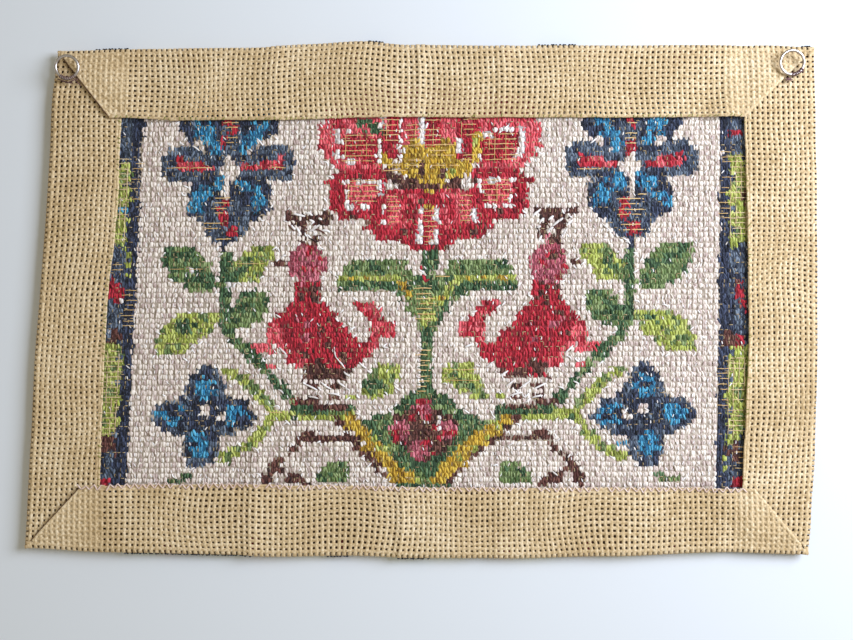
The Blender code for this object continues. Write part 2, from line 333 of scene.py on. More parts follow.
def threads(points, width, height, facing=-1.0, sides=4, kept=None):
    """Half-round threads along rows of points, as corners and four-sided faces. Facing is the way that
    they stand up from the cloth in y, or a direction for each point, and kept says which steps stay."""
    points = np.asarray(points, float)
    count, steps = points.shape[:2]
    along = np.gradient(points, axis=1)
    up = np.zeros_like(points)
    up[...] = facing if np.ndim(facing) else (0.0, facing, 0.0)
    across = np.cross(along, up)
    across /= np.maximum(np.linalg.norm(across, axis=-1, keepdims=True), 1e-12)
    angle = np.linspace(0, pi, sides + 1)[:, None]
    width = np.broadcast_to(width, (count, steps))[:, :, None, None]
    height = np.broadcast_to(height, (count, steps))[:, :, None, None]
    corners = points[:, :, None] + across[:, :, None] * width / 2 * np.cos(angle)
    corners = corners + up[:, :, None] * height * np.sin(angle)
    ring = sides + 1
    grid = np.arange(steps * ring).reshape(steps, ring)
    quads = np.stack([grid[:-1, :-1], grid[1:, :-1], grid[1:, 1:], grid[:-1, 1:]], -1)
    faces = quads[None] + (np.arange(count) * steps * ring)[:, None, None, None]
    if kept is not None:
        faces = faces[kept]
    return corners.reshape(-1, 3), faces.reshape(-1, 4)


def grid_faces(shape):
    """Four-sided faces between the points of a sheet."""
    number = np.arange(shape[0] * shape[1]).reshape(shape)
    corners = [number[1:, :-1], number[1:, 1:], number[:-1, 1:], number[:-1, :-1]]
    return np.stack(corners, -1).reshape(-1, 4)


def make_piece(name, parts, materials):
    """Joins parts, each with its corners, faces and material number, into one mesh on the cloth."""
    corners, faces, slots, first = [], [], [], 0
    for part_corners, part_faces, slot in parts:
        corners.append(part_corners)
        faces.append(part_faces + first)
        slots.append(np.broadcast_to(slot, len(part_faces)))
        first += len(part_corners)
    corners, faces, slots = (np.concatenate(each) for each in (corners, faces, slots))
    used, faces = np.unique(faces, return_inverse=True)
    mesh = bpy.data.meshes.new(name)
    mesh.vertices.add(len(used))
    mesh.vertices.foreach_set("co", corners[used].astype(np.float32).ravel())
    mesh.loops.add(faces.size)
    mesh.loops.foreach_set("vertex_index", faces.ravel().astype(np.int32))
    mesh.polygons.add(faces.size // 4)
    mesh.polygons.foreach_set("loop_start", np.arange(0, faces.size, 4, dtype=np.int32))
    mesh.polygons.foreach_set("use_smooth", np.ones(faces.size // 4, bool))
    mesh.polygons.foreach_set("material_index", slots.astype(np.int32))
    mesh.update(calc_edges=True)
    for material in materials:
        mesh.materials.append(material)
    made = bpy.data.objects.new(name, mesh)
    bpy.context.scene.collection.objects.link(made)
    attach(made, "root")
    return made


def colour(value):
    """An sRGB hex colour as the linear one that a shader takes."""
    parts = [int(value[i : i + 2], 16) / 255 for i in (0, 2, 4)]
    parts = [c / 12.92 if c <= 0.04045 else ((c + 0.055) / 1.055) ** 2.4 for c in parts]
    return (*parts, 1.0)


def feed(node, values, links=None):
    """Sets a node's input values, and links what feeds the others."""
    for name, value in values.items():
        node.inputs[name].default_value = value
    for name, source in (links or {}).items():
        node.id_data.links.new(source, node.inputs[name])


def add(tree, kind, inputs=None, links=None, **settings):
    """Adds a node with its settings, its input values and what feeds them."""
    made = tree.nodes.new(kind)
    for name, value in settings.items():
        setattr(made, name, value)
    feed(made, inputs or {}, links)
    return made


def blank(name):
    """A new material with its shader ready to be fed."""
    made = bpy.data.materials.new(name)
    made.use_nodes = True
    return made, made.node_tree, made.node_tree.nodes["Principled BSDF"]


AGED_SIZE = 28 * MM


def cotton(name, shade, plain, light, fibre_size):
    """Unbleached cotton thread, tightly spun and dressed. It is matt, uneven along its length, and a
    little darker in patches a few centimetres wide, where the dressing has yellowed."""
    made, tree, shader = blank(name)
    place = add(tree, "ShaderNodeTexCoord").outputs["Object"]
    # Spun cotton has slubs a few millimetres long
    slub = add(tree, "ShaderNodeTexNoise", {"Scale": 1 / fibre_size, "Detail": 2.0}, {"Vector": place})
    slub = slub.outputs["Fac"]
    aged = add(tree, "ShaderNodeTexNoise", {"Scale": 1 / AGED_SIZE, "Detail": 3.0}, {"Vector": place})
    own = add(tree, "ShaderNodeNewGeometry").outputs["Random Per Island"]
    tone = add(tree, "ShaderNodeMix", {"Factor": 0.35}, {"A": slub, "B": aged.outputs["Fac"]})
    tone = add(tree, "ShaderNodeMix", {"Factor": 0.05}, {"A": tone.outputs[0], "B": own})
    ramp = add(tree, "ShaderNodeValToRGB", links={"Fac": tone.outputs[0]})
    ramp.color_ramp.elements[0].position = 0.32
    ramp.color_ramp.elements[0].color = colour(shade)
    ramp.color_ramp.elements[1].position = 0.68
    ramp.color_ramp.elements[1].color = colour(light)
    middle = ramp.color_ramp.elements.new(0.5)
    middle.color = colour(plain)
    bump = add(tree, "ShaderNodeBump", {"Strength": 0.5, "Distance": 0.12 * MM}, {"Height": slub})
    feed(
        shader,
        {"Roughness": 0.88, "IOR": 1.53, "Specular IOR Level": 0.3, "Sheen Weight": 0.08},
        {"Base Color": ramp.outputs["Color"], "Normal": bump.outputs["Normal"]},
    )
    return made


# The level threads are a darker copy of the same cotton: painted shade
WARP = cotton("cotton_canvas_upright_thread", "B4976B", "D6BC91", "F3E0BE", 1.1 * MM)
WEFT = cotton("cotton_canvas_level_thread", "A5895C", "C9AE84", "EAD5B0", 1.1 * MM)


# The plies are 0.4 mm wide: shown 0.6 mm wide and drawn out along the stitch, so that they show
PLY_SHOWN = 0.6 * MM


def wool(name, shade, plain, light, fleck=0.6, depth=1.0):
    """Dyed wool yarn, loosely spun from two or three plies. It is matt and hairy, so each stitch has its own
    tone. Pale flecks at random along it stand partly for paler fibres and partly for painted highlights.
    Depth below 1 darkens all its colours, as painted shade for wool down in the gaps."""
    made, tree, shader = blank(name)
    tones = (colour(tone) for tone in (shade, plain, light))
    # Depth scales every tone down: painted shade
    shade, plain, light = ([part * depth for part in tone[:3]] + [1.0] for tone in tones)
    place = add(tree, "ShaderNodeTexCoord").outputs["Object"]
    drawn = add(tree, "ShaderNodeMapping", {"Scale": (1.0, 1.0, 0.4)}, {"Vector": place})
    fibres = {"Scale": 1 / PLY_SHOWN, "Detail": 2.0, "Roughness": 0.6}
    ply = add(tree, "ShaderNodeTexNoise", fibres, {"Vector": drawn.outputs["Vector"]}).outputs["Fac"]
    own = add(tree, "ShaderNodeNewGeometry").outputs["Random Per Island"]
    base = add(tree, "ShaderNodeValToRGB", links={"Fac": own})
    base.color_ramp.elements[0].position = 0.05
    base.color_ramp.elements[0].color = shade
    base.color_ramp.elements[1].position = 0.95
    base.color_ramp.elements[1].color = [(a + b) / 2 for a, b in zip(light, plain)]
    base.color_ramp.elements.new(0.45).color = plain
    # Pale flecks: partly paler fibres, partly painted highlights
    fleck_range = {"From Min": fleck - 0.05, "From Max": fleck + 0.07, "To Max": 0.85}
    bright = add(tree, "ShaderNodeMapRange", fleck_range, {"Value": ply})
    mixed = add(tree, "ShaderNodeMix", data_type="RGBA")
    tree.links.new(bright.outputs["Result"], mixed.inputs["Factor"])
    tree.links.new(base.outputs["Color"], mixed.inputs["A"])
    mixed.inputs["B"].default_value = light
    bump = add(tree, "ShaderNodeBump", {"Strength": 0.7, "Distance": 0.25 * MM}, {"Height": ply})
    feed(
        shader,
        {
            "Roughness": 0.92,
            "IOR": 1.55,
            "Specular IOR Level": 0.25,
            "Sheen Weight": 0.2,
            "Sheen Roughness": 0.6,
        },
        {"Base Color": mixed.outputs["Result"], "Normal": bump.outputs["Normal"]},
    )
    return made


# Colours of the wool: its shade, its own colour, and its palest fibres, which also serve as its painted
# highlights
YARN_TONES = {
    "ecru": ("B49D96", "DCCCC1", "FFF8EA"),
    "white": ("CFC6C0", "EAE4E0", "FFFFFF"),
    "navy": ("080A12", "1A2035", "55617F"),
    "slate": ("1A2230", "3E4A5E", "8C9AAA"),
    "turquoise": ("06284A", "116D9C", "74D2F0"),
    "crimson": ("5A0612", "AE1428", "DA3E50"),
    "coral": ("A82834", "DE4652", "FA9298"),
    "brown": ("220C0B", "50251F", "916254"),
    "dark_green": ("122C1A", "2B4E2C", "7A9A6E"),
    "mid_green": ("344E22", "667E42", "B0BE8A"),
    "lime": ("6A7228", "A8B348", "DEE290"),
    "gold": ("72500E", "C2941C", "F0D864"),
    "dusty_pink": ("6E2030", "AE4858", "F09CA8"),
}
YARNS = {yarn: wool("wool_" + yarn, *tones) for yarn, tones in YARN_TONES.items()}


# The chart
# The stitcher's own colours, square by square: three palmette flowers, two birds, a branching stem and
# a striped border, drawn as plain shapes on the counted squares, the same for the reverse and the front.

YARN_NAMES = list(YARNS)
FIRST_COLUMN = -75
LAST_COLUMN = 75
FIRST_ROW = -15
LAST_ROW = 88
COLUMNS = np.arange(FIRST_COLUMN, LAST_COLUMN) + 0.5
ROWS = np.arange(FIRST_ROW, LAST_ROW) + 0.5
across, down = np.meshgrid(COLUMNS, ROWS)
squares = (across, down)
chart = np.zeros(across.shape, int)


def inside(at, outline):
    """Which squares lie within an outline."""
    u, v = at
    found = np.zeros(u.shape, bool)
    for (u1, v1), (u2, v2) in zip(outline, outline[1:] + outline[:1]):
        if v1 != v2:
            found ^= ((v1 > v) != (v2 > v)) & (u < (u2 - u1) * (v - v1) / (v2 - v1) + u1)
    return found


def along_line(at, line, width):
    """Which squares lie within half a width of a line."""
    u, v = at
    found = np.zeros(u.shape, bool)
    for (u1, v1), (u2, v2) in zip(line, line[1:]):
        run, rise = u2 - u1, v2 - v1
        part = np.clip(((u - u1) * run + (v - v1) * rise) / max(run * run + rise * rise, 1e-9), 0, 1)
        found |= np.hypot(u - u1 - part * run, v - v1 - part * rise) <= width / 2
    return found


def spots(at, wide, high, *centres):
    """Which squares lie within ovals of one size."""
    ovals = [((at[0] - u) / wide) ** 2 + ((at[1] - v) / high) ** 2 <= 1 for u, v in centres]
    return np.any(ovals, 0)


def block(at, left, right, top, foot):
    """Which squares lie in a block."""
    u, v = at
    return (u > left) & (u < right) & (v > top) & (v < foot)


def fill(where, yarn, other=None, share=0.3):
    """Charts squares in a yarn, some of them at random in another one."""
    chart[where] = YARN_NAMES.index(yarn)
    if other:
        chart[where & (chance.random(chart.shape) < share)] = YARN_NAMES.index(other)


# Middles of the blue flowers, and the counted lines of the border: the edge of its navy stripe at the
# sides, at the top and at the foot, and the ornament within it
UPPER_FLOWER = (38.1, 10.0)
LOWER_FLOWER = (41.1, 57.8)
BORDER_SIDE = 55
BORDER_TOP = -7.5
BORDER_FOOT = 79.5
ORNAMENT_INNER = 57
ORNAMENT_OUTER = 62.5

for hand in (-1, 1):
    out = across * hand
    half = (out, down)
    # Blue flower in the upper corner, most of it charted on both sides of its own middle
    u, v = (out - UPPER_FLOWER[0]) * hand, down - UPPER_FLOWER[1]
    w = abs(u)
    flower = (u, v)
    folded = (w, v)
    fill(inside(folded, [(-1, -17), (3.4, -17), (3.4, -4), (1, 0), (-1, 0)]), "slate", "navy", 0.35)
    petal = [(1, -10), (2.6, -15), (5, -16.5), (8, -15.5), (9.6, -12), (9.4, -8.4), (7.8, -5.7), (4, -2.6)]
    fill(inside(folded, petal), "navy", "slate", 0.1)
    bright = along_line(folded, [(6.4, -13.5), (5.7, -9.6), (4.6, -7.6)], 3.3)
    fill(bright | along_line(folded, [(4.6, -7.6), (2.7, -4.4)], 2.5), "turquoise", "navy", 0.12)
    if hand < 0:
        fill(block(folded, -1, 1.4, -15, -7.2), "crimson", "slate", 0.3)
        fill(along_line(flower, [(-1.6, -7), (-1.5, -4.6)], 1.0), "crimson")
    else:
        fill(block(folded, -1, 0.8, -15, -2.4), "crimson", "slate", 0.3)
        fill(along_line(flower, [(-11.8, 0.4), (-9, 0)], 1.5), "coral")
    fill(inside(folded, [(5.0, -5.8), (6.7, -5.8), (6.4, -4.2), (5.0, -4.6)]), "ecru")
    lobe = [(1, -3), (4.5, -3), (6.5, -4.6), (11, -4.6), (12.4, -3.2), (12.4, 1), (11.2, 2.3), (1, 2.6)]
    fill(inside(folded, lobe), "slate", "navy", 0.16)
    fill(inside(folded, [(1, 1.4), (6.6, 1.4), (7.4, 2.8), (1, 2.8)]), "navy", "slate", 0.3)
    bar = [(2.4, -0.6), (5, -1.5), (9.6, -2.6), (9.8, 0.2), (5, 0.5), (2.4, 0.2)]
    fill(inside(folded, bar), "coral", "crimson", 0.35)
    lower = [(0.6, 2.0), (3, 2.0), (8.4, 2.7), (8.3, 7.6), (7.2, 9.0), (4.4, 9.9), (0.6, 9.9)]
    fill(inside(folded, lower), "navy", "slate", 0.15)
    foot = [(-1, 5.6), (2.6, 6.0), (4.6, 8.6), (4.4, 11), (3.2, 13), (1.6, 14.3), (-1, 14.5)]
    fill(inside(folded, foot), "slate", "navy", 0.2)
    fill(along_line(folded, [(2.0, 2.6), (4.6, 3.8), (6.2, 7.0)], 2.7), "turquoise", "navy", 0.22)
    fill(along_line(flower, [(-0.9, 6.6), (-0.7, 9.6)], 1.9), "crimson", "slate", 0.2)
    fill(spots(flower, 1.0, 1.3, (1.2, 11.8)), "crimson")
    fill((w * 0.95 + abs(v + 0.1) < 2.5) | block(folded, -1, 0.6, -3, 3), "ecru")
    # Lower blue flower
    u, v = out - LOWER_FLOWER[0], down - LOWER_FLOWER[1]
    flower = (u, v)
    cross = [
        (10.2, 0.6), (8.6, -1.3), (7, -3.3), (4.8, -2.9), (2.9, -6.8), (1.3, -8.8), (-0.3, -10),
        (-2.5, -8.5), (-3.5, -5.5), (-4.8, -3.3), (-7.6, -2.3), (-10.2, 0.6), (-9.2, 2.3), (-5.7, 3.9),
        (-2.9, 4.9), (-3.2, 8.1), (-1.3, 9.8), (2.5, 10.7), (3.5, 7.5), (4.4, 4.2), (7.6, 2.9),
    ]
    fill(inside(flower, cross), "slate", "navy", 0.4)
    fill((abs(u) + abs(v) < 4.8) & inside(flower, cross), "navy", "slate", 0.12)
    for centre, wide, high in (
        ((-0.1, -5.6), 2.0, 2.4),
        ((6.0, -0.2), 2.6, 2.0),
        ((-5.8, 0.3), 2.9, 1.9),
        ((0.8, 6.0), 2.1, 2.5),
    ):
        fill(spots(flower, wide, high, centre), "turquoise", "navy", 0.2)
    fill(spots(flower, 0.9, 1.2, (-0.2, -0.6)) | spots(flower, 0.8, 0.7, (-3.2, 0.3)), "ecru")
    # Leaves of the upper corner, outer ones first
    leaf = [
        (49.9, 26.2), (49.0, 24.6), (44.8, 24.5), (42.8, 26.6), (40.0, 30.5), (39.2, 33.4), (41, 34.0),
        (44.8, 33.6), (47.5, 31.8), (49.6, 29.2),
    ]
    fill(inside(half, leaf), "mid_green", "dark_green", 0.45 if hand < 0 else 0.2)
    line = [(40.6, 32.6), (44.6, 29.0), (47.6, 26.6)]
    fill(along_line(half, line, 1.3), "dark_green", "mid_green", 0.35)
    leaf = [
        (28.6, 25), (34.1, 25.4), (36.8, 28.4), (37.0, 32.0), (33.5, 32.3), (31.2, 30.6), (30.2, 28.6),
        (28.6, 26.8),
    ]
    fill(inside(half, leaf), "lime", "mid_green", 0.3)
    fill(along_line(half, [(36.2, 31.0), (34.0, 28.0)], 1.7), "dark_green", "mid_green", 0.4)
    leaf = [
        (29.6, 34.0), (34.8, 34.2), (37.0, 37.6), (37.6, 40.6), (34.0, 41.1), (30.9, 39.4),
        (30.1, 36.4),
    ]
    fill(inside(half, leaf), "mid_green", "dark_green", 0.4)
    leaf = [
        (39.4, 38), (46.3, 37.8), (47.9, 39.2), (50.7, 42.9), (51.2, 46.1), (46, 46.1), (43.8, 44.2),
        (40.7, 42), (39.1, 39.8),
    ]
    fill(inside(half, leaf), "lime", "mid_green", 0.25)
    outline = [(40.4, 38.6), (45.6, 38.6), (47, 41), (45.6, 42.4), (42.6, 40.8)]
    fill(inside(half, outline), "dark_green", "lime", 0.35)
    # Stems of the side branches
    fill(along_line(half, [(38.3, 23.6), (38.5, 27)], 1.7), "navy", "slate", 0.3)
    stem = [
        (38.0, 27), (38.0, 34), (37.9, 40.4), (36.7, 42.6), (33.7, 45.4), (31, 48.2), (28.6, 50.8),
        (24.6, 55.6),
    ]
    fill(along_line(half, stem, 1.7), "dark_green", "mid_green", 0.2)
    # Lime sprig and the arm that joins it to the base
    line = [(36.6, 49.5), (33.3, 51.4), (30, 54.6), (27.9, 57.8)]
    fill(along_line(half, line, 2.0), "lime", "mid_green", 0.25)
    line = [(27.9, 57.8), (30.3, 61), (33, 64), (37, 65.8)]
    fill(along_line(half, line, 1.9), "lime", "mid_green", 0.25)
    fill(along_line(half, [(28, 58.0), (14, 57.9)], 1.4), "lime", "dark_green", 0.1)
    fill(along_line(half, [(24.4, 56.7), (14, 56.7)], 1.6), "dark_green", "mid_green", 0.15)
    line = [(24.0, 55.4), (20.5, 55.6), (20.0, 56.3), (15.4, 56.3)]
    fill(along_line(half, line, 1.2), "brown", "crimson", 0.15)
    # Brown curls and the small leaf below
    curl = [
        (12.8, 62.2), (23.0, 62.0), (23.6, 63.6), (25.9, 65.8), (28.0, 67.6), (29.0, 69.2),
        (29.1, 71.6),
    ]
    fill(along_line(half, curl, 1.12), "brown")
    fill(spots(half, 1.3, 0.9, (27.3, 68.3)), "brown")
    fill(along_line(half, [(26.0, 70.0), (23.6, 70.0), (22.0, 71.2)], 1.2), "brown")
    leaf = [(17.6, 66.8), (13.8, 67.0), (13.7, 71.2), (19.8, 71.4), (19.6, 69.4)]
    fill(inside(half, leaf), "mid_green", "dark_green", 0.2)
    # Bird, facing outwards
    head = [
        (25.1, 25.4), (24.4, 24.8), (21.4, 24.9), (20.5, 25.8), (19.5, 27.1), (19.4, 28.6),
        (19.8, 34.4), (22.4, 35.4), (24.9, 33.6), (25.6, 30.6), (26.5, 29.2), (26.3, 27.1),
    ]
    fill(inside(half, head), "dusty_pink", "crimson", 0.15)
    outline = [(25.4, 27.0), (22.8, 27.0), (22.4, 28.3), (25.4, 28.5)]
    fill(inside(half, outline), "brown", "dusty_pink", 0.45)
    fill(along_line(half, [(28.4, 28.6), (27.2, 28.4)], 1.3), "brown")
    outline = [(24.7, 32.6), (19.8, 32.4), (19.8, 36.0), (24.7, 36.0)]
    fill(inside(half, outline), "crimson", "brown", 0.5)
    body = [
        (25.1, 35.7), (19.9, 35.7), (17.7, 37.8), (16.5, 39.8), (14.5, 41.6), (13.3, 43.4),
        (11.5, 44.2), (10.3, 46.7), (11.3, 47.0), (12.0, 46.0), (12.6, 48.2), (13.6, 49.0),
        (15.0, 49.8), (22.2, 49.6), (24.4, 48.9), (26.1, 47.5), (26.3, 45.9), (28.5, 44.4),
        (30.3, 42.9), (30.2, 40.8), (28.4, 38.6),
    ]
    fill(inside(half, body), "crimson", "brown", 0.05)
    breast = [
        (30.4, 43), (30.2, 40.6), (27.8, 40.2), (27.2, 42.8), (25.6, 45.2), (22.6, 47.4), (21, 49.4),
        (24.6, 49.2), (26.4, 47.6), (26.4, 45.9), (28.6, 44.4),
    ]
    fill(inside(half, breast), "coral", "crimson", 0.2)
    fill(spots(half, 1.8, 1.3, (24, 40)) | spots(half, 1.2, 1.0, (21.5, 43)), "dusty_pink", "crimson", 0.5)
    tail = [
        (14.8, 36.0), (13.3, 35.5), (10.3, 35.7), (9.8, 37.0), (8.8, 38.0), (8.5, 39.5), (6.9, 39.6),
        (5.7, 41.3), (6.6, 42.7), (8.3, 43), (8.8, 44.2), (10.3, 46.7), (11.5, 44.2), (10.8, 41.6),
        (10.8, 40.1), (12.2, 38.6),
    ]
    fill(inside(half, tail), "coral", "crimson", 0.5)
    under = [
        (23.6, 49.0), (20.8, 47.4), (19.9, 47.2), (19.1, 48.6), (14.2, 48.6), (14.8, 50.8),
        (20.8, 51.4), (22.3, 51.0),
    ]
    fill(inside(half, under), "brown", "crimson", 0.12)
    feet = ((20.9, 52.2), (16.9, 52.2), (20.9, 54.3), (16.9, 54.3))
    fill(spots(half, 0.75, 0.75, *feet), "brown")
    specks = (
        (32, 44.4), (30.8, 44.5), (29.8, 44.4), (31.4, 45.6), (30, 45.7), (28.8, 45.5), (29.6, 48.4),
        (28.4, 48.6),
    )
    fill(spots(half, 0.55, 0.55, *specks), "coral")
    # Bird's crest, not quite the same on both
    if hand < 0:
        bar = [
            (26.5, 18.4), (25.8, 19.4), (24.6, 19.6), (21.2, 18.6), (18.2, 18.4), (18.2, 20.4),
            (22.5, 20.9), (25.5, 20.9), (26.6, 19.8),
        ]
        fill(inside(half, bar), "brown", "ecru", 0.12)
        fill(block(half, 23, 24.4, 20.6, 25), "brown")
        fill(block(half, 21, 22.1, 22.6, 25), "brown")
        fill(spots(half, 0.7, 0.9, (25.6, 21.4)), "brown")
    else:
        bar = [(20, 19.4), (20.2, 18.0), (25.6, 18.0), (27.6, 17.6), (27.6, 19.0), (25.6, 19.8), (22, 19.6)]
        fill(inside(half, bar), "brown", "ecru", 0.12)
        fill(block(half, 24, 26.1, 20, 22.6), "brown", "ecru", 0.2)
        fill(block(half, 21, 22.1, 21, 24), "brown")
        fill(block(half, 21.9, 25.1, 22.8, 24.9), "brown", "dusty_pink", 0.15)
        fill(spots(half, 0.6, 0.6, (22.6, 20.6)), "brown")
    # Big red flower, one half of it
    top = [
        (20.0, -1.5), (20.9, 2.6), (20.8, 5.6), (19.6, 7.6), (18.5, 9.4), (16.8, 10.4), (11, 10.4),
        (9.2, 9.6), (9.2, -5), (17, -5),
    ]
    fill(inside(half, top), "coral", "crimson", 0.12)
    outline = [(18.2, 2.3), (18.2, 7.4), (14.2, 9.4), (9.5, 9.4), (9.4, 4.0), (12.4, 2.2)]
    fill(inside(half, outline), "white", "coral", 0.2)
    outline = [(17.3, 3.1), (17.2, 6.8), (14.0, 8.6), (10.4, 8.6), (10.3, 4.2), (12.8, 3.0)]
    fill(inside(half, outline), "crimson", "coral", 0.08)
    second = [
        (19.6, 12.4), (18.9, 13.2), (19.1, 16.9), (18.0, 18.6), (16.2, 19.9), (8, 20), (8, 10.2),
        (16.2, 10.3),
    ]
    fill(inside(half, second), "crimson", "brown", 0.06)
    fill(inside(half, [(16.4, 12.0), (16.4, 17.7), (9.3, 17.7), (9.3, 12.0)]), "white", "coral", 0.2)
    fill(inside(half, [(15.5, 12.9), (15.5, 16.9), (9.6, 16.9), (9.6, 12.9)]), "coral", "crimson", 0.1)
    third = [
        (12.0, 18.4), (11.8, 22), (10.8, 23.4), (9, 23.9), (5.8, 23.9), (4.4, 25), (2.2, 26.4),
        (-1, 26.5), (-1, 13.6), (8.4, 13.6),
    ]
    fill(inside(half, third), "crimson", "brown", 0.08)
    outline = [(8.0, 16.8), (9.2, 17.4), (9.2, 21.5), (5.0, 21.5), (5.0, 15)]
    fill(inside(half, outline), "white", "crimson", 0.2)
    fill(inside(half, [(7.6, 14.6), (8.2, 20.6), (5.4, 20.6), (4.6, 14.4)]), "coral", "crimson", 0.1)
    fill(inside(half, [(5.3, 14.2), (5.2, 21.9), (2.4, 22.4), (2.3, 14.2)]), "crimson", "coral", 0.3)
    fill(block(half, -0.1, 2.4, 18.2, 25.0), "white", "coral", 0.1)
    fill(block(half, -0.1, 1.5, 17.4, 24.2), "coral", "crimson", 0.08)
    # Long leaf beside the stem
    wide = 6.4 if hand < 0 else 8.4
    leaf = [
        (13.3, 27.6), (6.4, 27.6), (4.4, 28.5), (2.4, 31), (-1, 32), (-1, 42), (1.2, 42.4), (2.0, 40.6),
        (3.0, 38.3), (wide * 0.75, 35.6), (wide, 33.7), (16.8, 33.6), (16.7, 30.8), (15.2, 28.6),
    ]
    fill(inside(half, leaf), "mid_green", "dark_green", 0.18)
    outline = [(16.9, 31.8), (16.9, 33.7), (5.6, 33.7), (3.4, 33), (6, 31.8)]
    fill(inside(half, outline), "dark_green", "mid_green", 0.15)
    if hand > 0:
        line = [(7.6, 33.2), (3.0, 37.4), (1.0, 41.4)]
        fill(along_line(half, line, 1.5), "dark_green", "mid_green", 0.3)
    line = [(16.8, 31.3), (8, 31.3), (5, 32.2), (2.6, 36.4)]
    fill(along_line(half, line, 1.15), "lime", "gold", 0.25)
    # Leaves by the foot of the stem
    if hand < 0:
        leaf = [(5.1, 48.2), (5.9, 53.3), (8.5, 54.9), (11.9, 54.4), (12.5, 52.6), (11, 49.9), (8.5, 48.0)]
        fill(inside(half, leaf), "lime", "mid_green", 0.35)
        fill(spots(half, 2.0, 1.6, (10.2, 52.2)), "dark_green", "mid_green", 0.25)
    else:
        leaf = [
            (2.6, 49.4), (5.2, 47.9), (8.3, 47.9), (10.3, 50.7), (11.7, 54), (11.7, 55.1), (9, 54.8),
            (5.8, 53.5), (3.3, 51.5),
        ]
        fill(inside(half, leaf), "lime", "mid_green", 0.35)
        fill(along_line(half, [(5.4, 50.6), (10.6, 54.2)], 1.3), "mid_green", "dark_green", 0.4)
    fill(spots(half, 0.9, 1.0, (14.1, 54.6)), "lime")
    # Base of the stem, gold band and brown edge
    base = [
        (-1, 52), (1.6, 53.4), (4.4, 54.9), (7.4, 57.6), (10.5, 58.9), (14, 58.2), (14, 59.8),
        (9, 63.6), (6.4, 66.8), (3, 70), (1.4, 72.4), (-1, 72.4),
    ]
    fill(inside(half, base), "dark_green", "mid_green", 0.3)
    if hand < 0:
        edge = [(16.5, 58.9), (14.3, 61.8), (11.2, 65.7), (9.3, 67.6), (6.8, 70.2)]
        band = [(14.3, 58.9), (11.2, 61.8), (8, 65.7), (4.9, 69.6), (2.4, 70.9)]
    else:
        edge = [(17.0, 58.6), (13.0, 62.2), (9.0, 65.8), (6.2, 68.8), (4.4, 70.8)]
        band = [(15.3, 58.9), (11.8, 61.3), (8.3, 63.9), (5.6, 67), (3.3, 69.6), (2.2, 71)]
    fill(along_line(half, edge, 1.3), "brown", "gold", 0.12)
    fill(along_line(half, band, 2.5), "gold", "lime", 0.08)
    # Small green sprigs at the foot of the window
    line = [(47.8, 70.8), (45, 70.7), (43.4, 69.2)]
    fill(along_line(half, line, 1.2), "dark_green", "mid_green", 0.4)
    fill(along_line(half, [(4.5, 71.6), (2.0, 71.4)], 1.1), "dark_green")
    # Border: a navy stripe, an ornament of slate, lime, brown and crimson, and navy to the fold
    level_from = np.maximum(BORDER_TOP - down, down - BORDER_FOOT)
    out_from = np.where(out < 0, level_from, np.maximum(out - BORDER_SIDE, level_from))
    fill((out_from > 0) & (out > -0.1), "navy")
    fill((out > ORNAMENT_INNER) & (out < ORNAMENT_OUTER) & (out_from > 2), "slate", "navy", 0.25)
    ragged = out + 0.5 * np.sin(down * 1.3) + 0.35 * np.sin(down * 2.9 + 1)
    lime_area = (ragged > ORNAMENT_INNER + 0.1) & (ragged < ORNAMENT_OUTER - 0.1) & (out_from > 1)
    upper_lime = down > 6.8 + 0.7 * (out - 56.6)
    if hand < 0:
        upper_lime &= down < 26.8 - (out - 56.4)
        lower_lime = (down > 43.6) & (down < 62.4)
        outline = [(56.9, 40.4), (58.6, 40.8), (60.5, 43.0), (60.5, 44.4), (56.9, 44.4)]
        brown_area = inside(half, outline)
        outline = [
            (57.2, 33.2), (57.6, 35.6), (58.6, 35.7), (60.5, 34.3), (60.5, 31.2), (59.0, 31.2),
            (58.4, 32.2),
        ]
        red_area = inside(half, outline)
        outline = [(57.0, 62.2), (60.6, 61.8), (60.6, 63.0), (58.6, 66.2), (57.2, 66.2)]
        lower_brown = inside(half, outline)
    else:
        upper_lime &= down < 24.6
        lower_lime = (down > 45.4) & (down < 64.6 - 0.8 * (out - 56.4))
        outline = [(56.2, 41.7), (58.2, 42.2), (60.4, 44.8), (60.6, 47.2), (58.8, 46.4), (56.4, 45.4)]
        brown_area = inside(half, outline)
        outline = [
            (57.6, 33.2), (59.3, 33.2), (60.0, 37.2), (61.0, 39.2), (60.0, 39.2), (58.8, 36.8),
            (57.7, 35.2),
        ]
        red_area = inside(half, outline)
        lower_brown = inside(half, [(56.4, 64.4), (59.4, 62.8), (59.6, 66.6), (56.8, 67.0)])
    fill(lime_area & upper_lime, "lime", "mid_green", 0.12)
    fill(brown_area, "brown", "slate", 0.1)
    fill(lime_area & lower_lime, "lime", "mid_green", 0.12)
    fill(lower_brown, "brown", "slate", 0.2)
    fill(red_area | spots(half, 1.2, 1.0, (59.4, 70.9)), "crimson")
    level = (out > -0.1) & (out < ORNAMENT_INNER) & (out_from > 2) & (out_from < 5.5)
    fill(level, "slate", "navy", 0.25)
    fill(level & (out % 16 < 8), "lime", "mid_green", 0.1)
    fill(level & (out % 16 > 14), "crimson")

